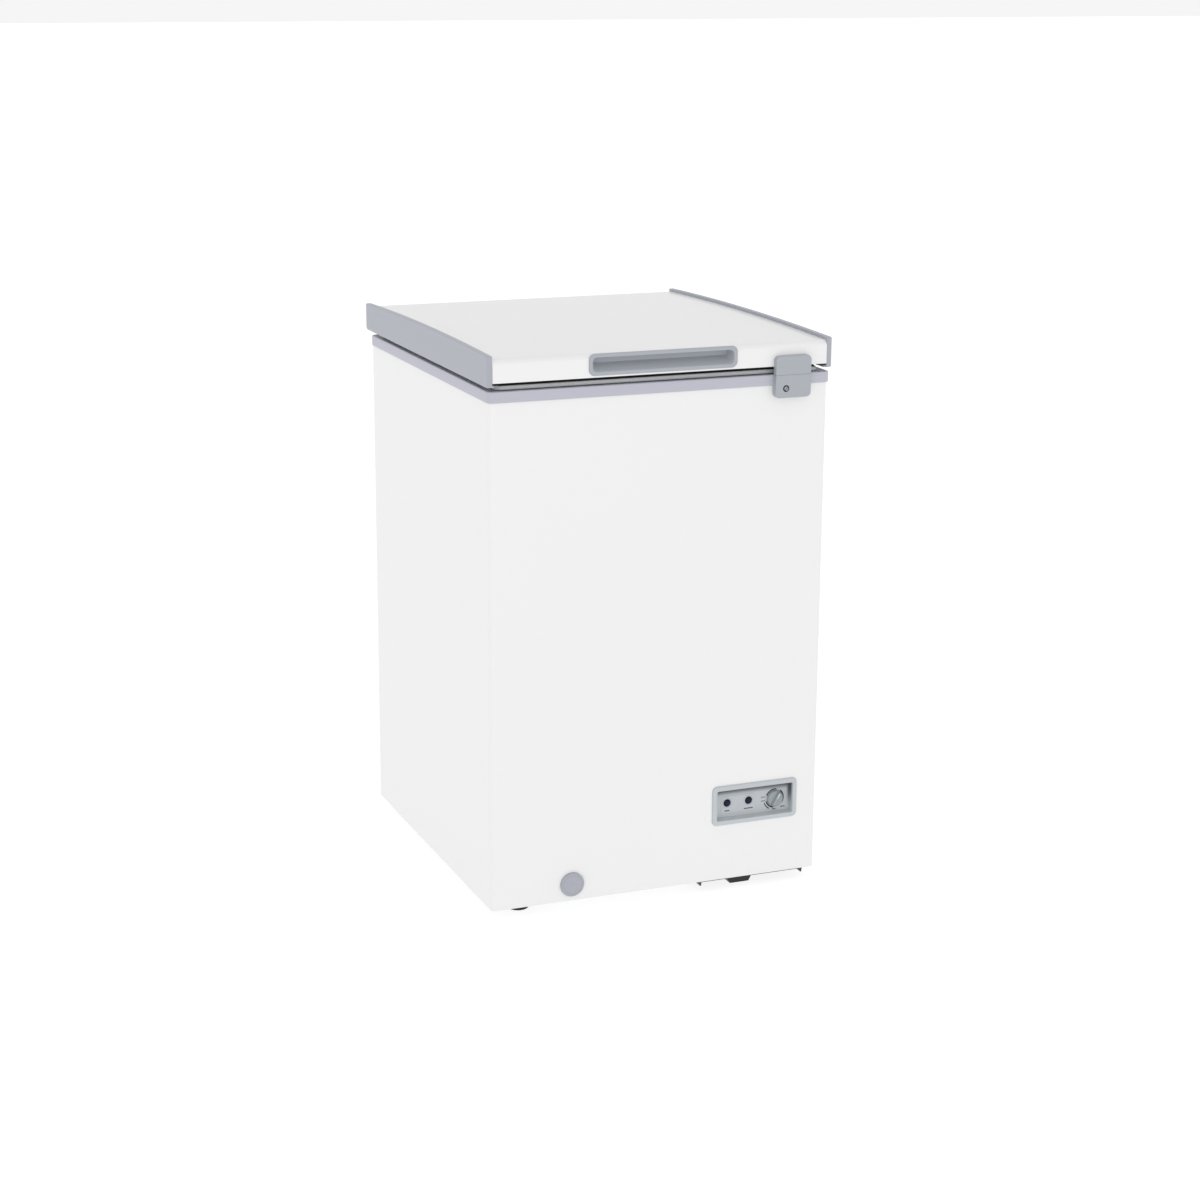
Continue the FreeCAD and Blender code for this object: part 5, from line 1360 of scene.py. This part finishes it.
# ---------------------------------------------------------------- controls
@dataclass
class ControlPanel:
    """Sunk control panel with two lamps, a dial and generic printed marks."""

    rim: float = 8.0 * MM
    wall: float = 1.6 * MM
    corner: float = 8.0 * MM
    proud: float = 3.0 * MM
    edge: float = 1.4 * MM
    print_t: float = 0.06 * MM
    lamps: tuple[str, str] = ("lamp_lens_left", "lamp_lens_right")
    pad_t: float = 0.5 * MM
    lamp_bore: float = 6.1 * MM
    shaft_bore: float = 4.0 * MM
    bore_reach: float = 4.0 * MM
    dial_radius: float = 13.0 * MM
    grip_half: float = 2.9 * MM
    grip_taper: tuple[float, float] = (0.62, 0.93)
    dial_slant: float = 30.0
    arcs: tuple[tuple[float, float, int, int], ...] = (
        (14.6, 2.2, -34, 52), (14.6, 1.8, 78, 158), (14.6, 2.2, 196, 262), (18.4, 1.7, 200, 240))
    dashes: tuple[tuple[float, float, float, float], ...] = (
        (-19.6, 3.6, 7.0, 1.1), (-19.6, -2.6, 7.0, 1.1), (-1.0, -17.6, 6.0, 1.4), (13.6, -15.0, 7.0, 1.4))
    lamp_dashes: tuple[float, float] = (8.0, 15.0)
    lamp_dash_down: float = 12.6 * MM

    def build(self) -> None:
        """Makes the panel, lamps, dial and marks."""
        self.panel()
        for node in self.lamps:
            self.lamp(node)
        self.dial()
        self.marks()
        dress(DARK_PLASTIC, "thermostat_body")
        dress(PLATED, "thermostat_shaft")

    def floor_level(self) -> float:
        """Returns the front of the sunk floor along Y."""
        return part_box("control_bezel")[1].y - self.wall

    def dial_seat(self) -> Vector:
        """Returns the point where the dial's axis meets the sunk floor."""
        shaft = centre_of("thermostat_shaft")
        return Vector((shaft.x, self.floor_level(), shaft.z))

    def panel(self) -> None:
        """Bridges the bezel from its sunk floor round the rim to its back."""
        low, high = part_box("control_bezel")
        face, seat, floor = low.y, low.y + self.proud, self.floor_level()
        outline = Loop((low.x, low.z), (high.x, high.z), self.corner, face)
        mouth = outline.grown(-self.rim, face, 2 * MM)
        edge, wall = self.edge, self.wall
        loops = [
            self.sloped(mouth, 1.6 * MM, 2.0 * MM, floor, MM),
            self.sloped(mouth, 0.9 * MM, 1.5 * MM, floor - 0.3 * MM, 1.2 * MM),
            self.sloped(mouth, 0.7 * MM, 1.1 * MM, floor - 1.1 * MM, 1.4 * MM),
            mouth.grown(0.3 * MM, face + 0.7 * MM, 2.4 * MM),
            mouth.grown(0.8 * MM, face, 2.8 * MM),
            outline.grown(-edge * 1.6, face + 0.2 * MM),
            outline.grown(-edge * 0.5, face + edge * 0.6),
            outline.grown(0, face + edge * 1.6),
            outline.grown(0, seat - BUTTED),
            mouth.grown(wall - 0.2 * MM, seat - BUTTED, 2 * MM),
            mouth.grown(wall - 0.2 * MM, floor + wall, 2 * MM),
        ]
        work = Workpiece("control_panel").skin(loops, Plane.FRONT, first=True, last=True, segments=6)
        first, second = (centre_of(name) for name in self.lamps)
        pad = Loop((first.x - 10 * MM, first.z - 17 * MM), (second.x + 10.5 * MM, first.z + 10.5 * MM),
                   3 * MM, floor - self.pad_t)
        raised = Workpiece("lamp_pad").skin(
            [pad.grown(0.5 * MM, floor + 0.4 * MM), pad.grown(0.5 * MM, floor - 0.1 * MM), pad],
            Plane.FRONT, first=True, last=True)
        work.carve(raised, Carving.JOIN)
        for centre in (first, second):
            ring = [(0, 0.6 * MM), (8.2 * MM, 0.6 * MM), (8.2 * MM, -0.6 * MM), (7.7 * MM, -1.2 * MM),
                    (6.9 * MM, -1.2 * MM), (6.4 * MM, -0.7 * MM), (0, -0.7 * MM)]
            seat_point = Vector((centre.x, floor, centre.z))
            work.carve(Workpiece("lamp_ring").turned(ring, seat_point, INWARD, steps=48), Carving.JOIN)
            bore = rod(self.lamp_bore, -self.bore_reach, self.bore_reach)
            work.carve(Workpiece("lamp_bore").turned(bore, seat_point, INWARD, steps=48))
        bore = rod(self.shaft_bore, -self.bore_reach, self.bore_reach)
        work.carve(Workpiece("shaft_bore").turned(bore, self.dial_seat(), INWARD, steps=32))
        # the panel's plastic carries painted shade in the recess under the brow and along the right wall
        plastic = PaintedShadePanel("panel grey plastic with painted shade", Slot.GREY, tint(186, 191, 195), face=face,
                            brow=mouth.high[1], end=mouth.high[0])
        work.become(plastic, Body.CABINET, "control_bezel")

    def sloped(self, mouth: Loop, inset: float, rise: float, level: float, radius: float) -> Loop:
        """Returns the mouth drawn in, by more at its lower side.

        Args:
            mouth: the recess's outline at the face.
            inset: how far the upper side and the ends move in.
            rise: how far the lower side moves up.
            level: its place along Y.
            radius: its corner radius.

        Returns:
            The loop.
        """
        low = (mouth.low[0] + inset, mouth.low[1] + rise)
        high = (mouth.high[0] - inset, mouth.high[1] - inset)
        return Loop(low, high, radius, level)

    def lamp(self, node: str) -> None:
        """Spins one domed lens on its stem."""
        low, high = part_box(node)
        r = (high.x - low.x) / 2
        centre = front_of(node)
        long = high.y - low.y
        profile = [(0, 0), (1.6 * MM, 0.08 * MM), (3.2 * MM, 0.35 * MM), (4.6 * MM, 0.9 * MM),
                   (5.5 * MM, 1.7 * MM), (r, 2.8 * MM), (r, 5.6 * MM), (4 * MM, long - 0.5 * MM), (0, long)]
        # the lens colour carries a painted highlight in the middle and painted shade at the rim
        lens = Lens(f"{node} colour", Slot.LENS, tint(8, 9, 36), centre, r)
        dome = Workpiece(f"{node}_dome").turned(profile, centre, INWARD, steps=40)
        dome.become(lens, Body.CABINET, node)

    def dial(self) -> None:
        """Makes the knob: a skirted disc with a tapered bar grip and a pale printed pointer line, which also
        serves as a painted highlight on the grip.
        """
        radius, centre = self.dial_radius, self.dial_seat()
        profile = [(0, -4 * MM), (3 * MM, -4 * MM), (3 * MM, -0.6 * MM), (radius, -0.6 * MM),
                   (radius, -2.6 * MM), (radius - 0.5 * MM, -3.6 * MM), (radius - 1.6 * MM, -4.4 * MM),
                   (radius - 3 * MM, -4.7 * MM), (0, -5 * MM)]
        knob = Workpiece("dial_knob").turned(profile, centre, INWARD, steps=56)
        half, top = self.grip_half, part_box("thermostat_knob")[0].y - centre.y
        grip = Workpiece("grip").block((-half, top, 1.4 * MM - radius), (half, -4.2 * MM, radius - 1.4 * MM))
        for vert in grip.bm.verts:
            if vert.co.y < top + SAME:
                vert.co.x *= self.grip_taper[0]
                vert.co.z *= self.grip_taper[1]
        grip.soften(lambda edge: middle_of(edge).y < -4.3 * MM, 0.9 * MM, segments=4)
        # pale pointer print along the grip, partly a real pointer line and partly a painted highlight on the
        # grip
        pointer = Workpiece("pointer_line").block((-0.5 * MM, top - self.print_t, 1.5 * MM),
                                                  (0.5 * MM, top + BUTTED, radius - 3.2 * MM))
        slant = Matrix.Rotation(math.radians(self.dial_slant), 3, "Y")
        knob.carve(grip.placed(slant, centre), Carving.JOIN)
        knob.become(DIAL_GREY, Body.DIAL, "thermostat_knob")
        pointer.placed(slant, centre).become(PALE_INK_AND_HIGHLIGHT, Body.DIAL)

    def marks(self) -> None:
        """Makes the printed arcs round the dial and plain dashes in place of words."""
        centre = self.dial_seat()
        marks = Workpiece("printed_marks")
        for radius, wide, start, end in self.arcs:
            self.printed_arc(marks, centre, radius * MM, wide * MM, math.radians(start), math.radians(end))
        for x, z, wide, tall in self.dashes:
            self.printed_dash(marks, centre + Vector((x * MM, 0, z * MM)), wide * MM, tall * MM)
        for node, wide in zip(self.lamps, self.lamp_dashes):
            lamp = centre_of(node)
            spot = Vector((lamp.x, centre.y - self.pad_t, lamp.z - self.lamp_dash_down))
            self.printed_dash(marks, spot, wide * MM, 1.5 * MM)
        marks.outwards().become(INK, Body.CABINET)

    def printed_dash(self, marks: Workpiece, middle: Vector, wide: float, tall: float) -> None:
        """Adds one printed dash.

        Args:
            marks: the workpiece of all the marks.
            middle: the dash's middle on the surface.
            wide: its length.
            tall: its height.
        """
        marks.block((middle.x - wide / 2, middle.y - self.print_t, middle.z - tall / 2),
                    (middle.x + wide / 2, middle.y + BUTTED, middle.z + tall / 2))

    def printed_arc(self, marks: Workpiece, centre: Vector, radius: float, wide: float, start: float,
                    end: float) -> None:
        """Adds one printed arc.

        Args:
            marks: the workpiece of all the marks.
            centre: the arc's centre on the surface.
            radius: its radius.
            wide: its width.
            start: its first angle, from +X towards +Z.
            end: its last angle.
        """
        way = Vector((math.cos(start), 0, math.sin(start)))
        inner, outer = centre + way * (radius - wide / 2), centre + way * (radius + wide / 2)
        rise, sink = INWARD * -self.print_t, INWARD * BUTTED
        verts = [marks.bm.verts.new(corner)
                 for corner in (inner + rise, outer + rise, outer + sink, inner + sink)]
        face = marks.bm.faces.new(verts)
        bmesh.ops.spin(marks.bm, geom=[face], cent=centre, axis=(0, -1, 0), angle=end - start,
                       steps=max(int((end - start) / 0.08), 3))


@dataclass
class Drain:
    """Grey cap over the drain outlet and the rubber bung in the tub."""

    ring_in: float = 4.2 * MM
    stem: float = 7.7 * MM

    def build(self) -> None:
        """Spins the cap with its ring and finger dimple."""
        low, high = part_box("drain_cap")
        r = (high.x - low.x) / 2
        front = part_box("outer_wrap")[0].y
        centre = Vector(((low.x + high.x) / 2, front, (low.z + high.z) / 2))
        proud = front - low.y
        ring, stem = r - self.ring_in, self.stem
        profile = [(0, 0.5 * MM - proud), (2.2 * MM, 0.6 * MM - proud), (3.4 * MM, 0.15 * MM - proud),
                   (5 * MM, -proud), (ring - 0.6 * MM, -proud), (ring, 0.45 * MM - proud),
                   (ring + 0.7 * MM, 0.45 * MM - proud), (ring + 1.2 * MM, 0.05 * MM - proud),
                   (r - 1.7 * MM, 0.1 * MM - proud), (r - 0.6 * MM, 0.6 * MM - proud), (r, 1.7 * MM - proud),
                   (r, -0.1 * MM), (stem, -0.1 * MM), (stem, 9 * MM), (stem - 0.8 * MM, 10.5 * MM),
                   (stem + 0.1 * MM, 12 * MM), (stem - 1.5 * MM, 16 * MM), (0, 16 * MM)]
        Workpiece("drain_cover").turned(profile, centre, INWARD, steps=72).become(
            CAP_GREY, Body.CAP, "drain_cap")
        dress(BLACK_RUBBER, "drain_bung")


# ---------------------------------------------------------------- rear and inside
@dataclass
class Hinges:
    """Two sprung hinges behind the collar."""

    turns: int = 12
    wire: float = 0.95 * MM
    ring_steps: int = 10

    def build(self) -> None:
        """Winds both springs and dresses the plates, pins and screws."""
        for side in ("left", "right"):
            self.spring(side)
            dress(PLATED, f"hinge_base_{side}", f"hinge_leaf_{side}", f"hinge_pin_{side}")
        dress(PLATED, "hinge_base_screws", "hinge_leaf_screws")

    def spring(self, side: str) -> None:
        """Winds one spring on its pin by a climbing spin."""
        low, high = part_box(f"hinge_spring_{side}")
        radius = (high.z - low.z) / 2 - self.wire
        middle = (low + high) / 2
        run = high.x - low.x - 2 * self.wire
        start = Vector((low.x + self.wire, middle.y, middle.z))
        coil = Workpiece(f"coil_spring_{side}")
        ring = bmesh.ops.create_circle(coil.bm, segments=8, radius=self.wire * 0.96)["verts"]
        bmesh.ops.rotate(coil.bm, cent=(0, 0, 0), matrix=Matrix.Rotation(math.pi / 2, 3, "X"), verts=ring)
        bmesh.ops.translate(coil.bm, vec=start + Vector((0, 0, radius)), verts=ring)
        steps = self.turns * self.ring_steps * 2
        bmesh.ops.spin(coil.bm, geom=ring + list(coil.bm.edges), cent=start, axis=(1, 0, 0),
                       dvec=(run / steps, 0, 0), angle=math.tau * self.turns, steps=steps)
        bmesh.ops.holes_fill(coil.bm, edges=list(coil.bm.edges))
        coil.outwards().become(PLATED, Body.CABINET, f"hinge_spring_{side}")


@dataclass
class Basket:
    """Coated wire basket hung on the collar."""

    def build(self) -> None:
        """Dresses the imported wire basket."""
        dress(WHITE_WIRE, "wire_basket")


# ---------------------------------------------------------------- studio
@dataclass
class Studio:
    """Pale floor, soft lights and the camera."""

    azimuth: float = -21.94
    elevation: float = 14.82
    roll: float = 0.35
    distance: float = 3.934
    lens: float = 74.8
    target: Spot = (0.0, -0.0051, 0.42)
    aside: float = 0.016
    below: float = 0.018
    floor_half: float = 40.0
    surround: float = 0.92
    lit_point: Spot = (0.0, 0.0, 0.45)
    softbox: float = 2.0
    lamps: tuple[tuple[str, Spot, float], ...] = (
        ("front softbox", (-0.5, -3.7, 1.1), 10.5), ("left softbox", (-3.4, -0.9, 1.2), 1.2))

    def build(self) -> None:
        """Sets up everything round the object."""
        self.floor()
        self.lights()
        self.camera()
        bpy.context.scene.view_settings.view_transform = "Standard"

    def floor(self) -> None:
        """Makes the floor, far larger than the view."""
        work = Workpiece("studio_floor")
        bmesh.ops.create_grid(work.bm, x_segments=2, y_segments=2, size=self.floor_half)
        floor = work.loose()
        floor.data.materials.append(STUDIO_FLOOR.material())

    def lights(self) -> None:
        """Adds the even white surround and the broad lamps."""
        world = bpy.data.worlds.new("white surround")
        world.use_nodes = True
        world.node_tree.nodes["Background"].inputs["Color"].default_value = (1, 1, 1, 1)
        world.node_tree.nodes["Background"].inputs["Strength"].default_value = self.surround
        bpy.context.scene.world = world
        for name, spot, power in self.lamps:
            self.lamp(name, spot, power)

    def lamp(self, name: str, spot: Spot, power: float) -> None:
        """Adds a square soft lamp aimed at the object.

        Args:
            name: its name.
            spot: where it stands.
            power: its power in watts.
        """
        data = bpy.data.lights.new(name, "AREA")
        data.size, data.energy = self.softbox, power
        lamp = bpy.data.objects.new(name, data)
        lamp.location = spot
        aim = Vector(self.lit_point) - Vector(spot)
        lamp.rotation_euler = aim.to_track_quat("-Z", "Y").to_euler()
        bpy.context.scene.collection.objects.link(lamp)

    def camera(self) -> None:
        """Stands the camera at the viewing angle."""
        a, e = math.radians(self.azimuth), math.radians(self.elevation)
        back = Vector((math.sin(a) * math.cos(e), -math.cos(a) * math.cos(e), math.sin(e)))
        right = Vector((math.cos(a), math.sin(a), 0))
        up = back.cross(right)
        aim = Vector(self.target) + right * self.aside - up * self.below
        data = bpy.data.cameras.new("camera")
        data.lens, data.sensor_width = self.lens, 36.0
        camera = bpy.data.objects.new("camera", data)
        turn = Matrix((right, up, back)).transposed()
        turn = Matrix.Rotation(math.radians(self.roll), 3, back) @ turn
        camera.matrix_world = Matrix.Translation(aim + back * self.distance) @ turn.to_4x4()
        bpy.context.scene.collection.objects.link(camera)
        bpy.context.scene.camera = camera


def main() -> None:
    """Builds every sub-assembly in order."""
    assemblies = (CabinetShell(), Collar(), TubLiner(), Feet(), CompressorGear(), Lid(), Handle(), Lock(),
                  ControlPanel(), Drain(), Hinges(), Basket(), Studio())
    for assembly in assemblies:
        LOG.info("building %s", type(assembly).__name__)
        assembly.build()


if __name__ == "__main__":
    logging.basicConfig(level=logging.INFO, format="%(message)s")
    main()
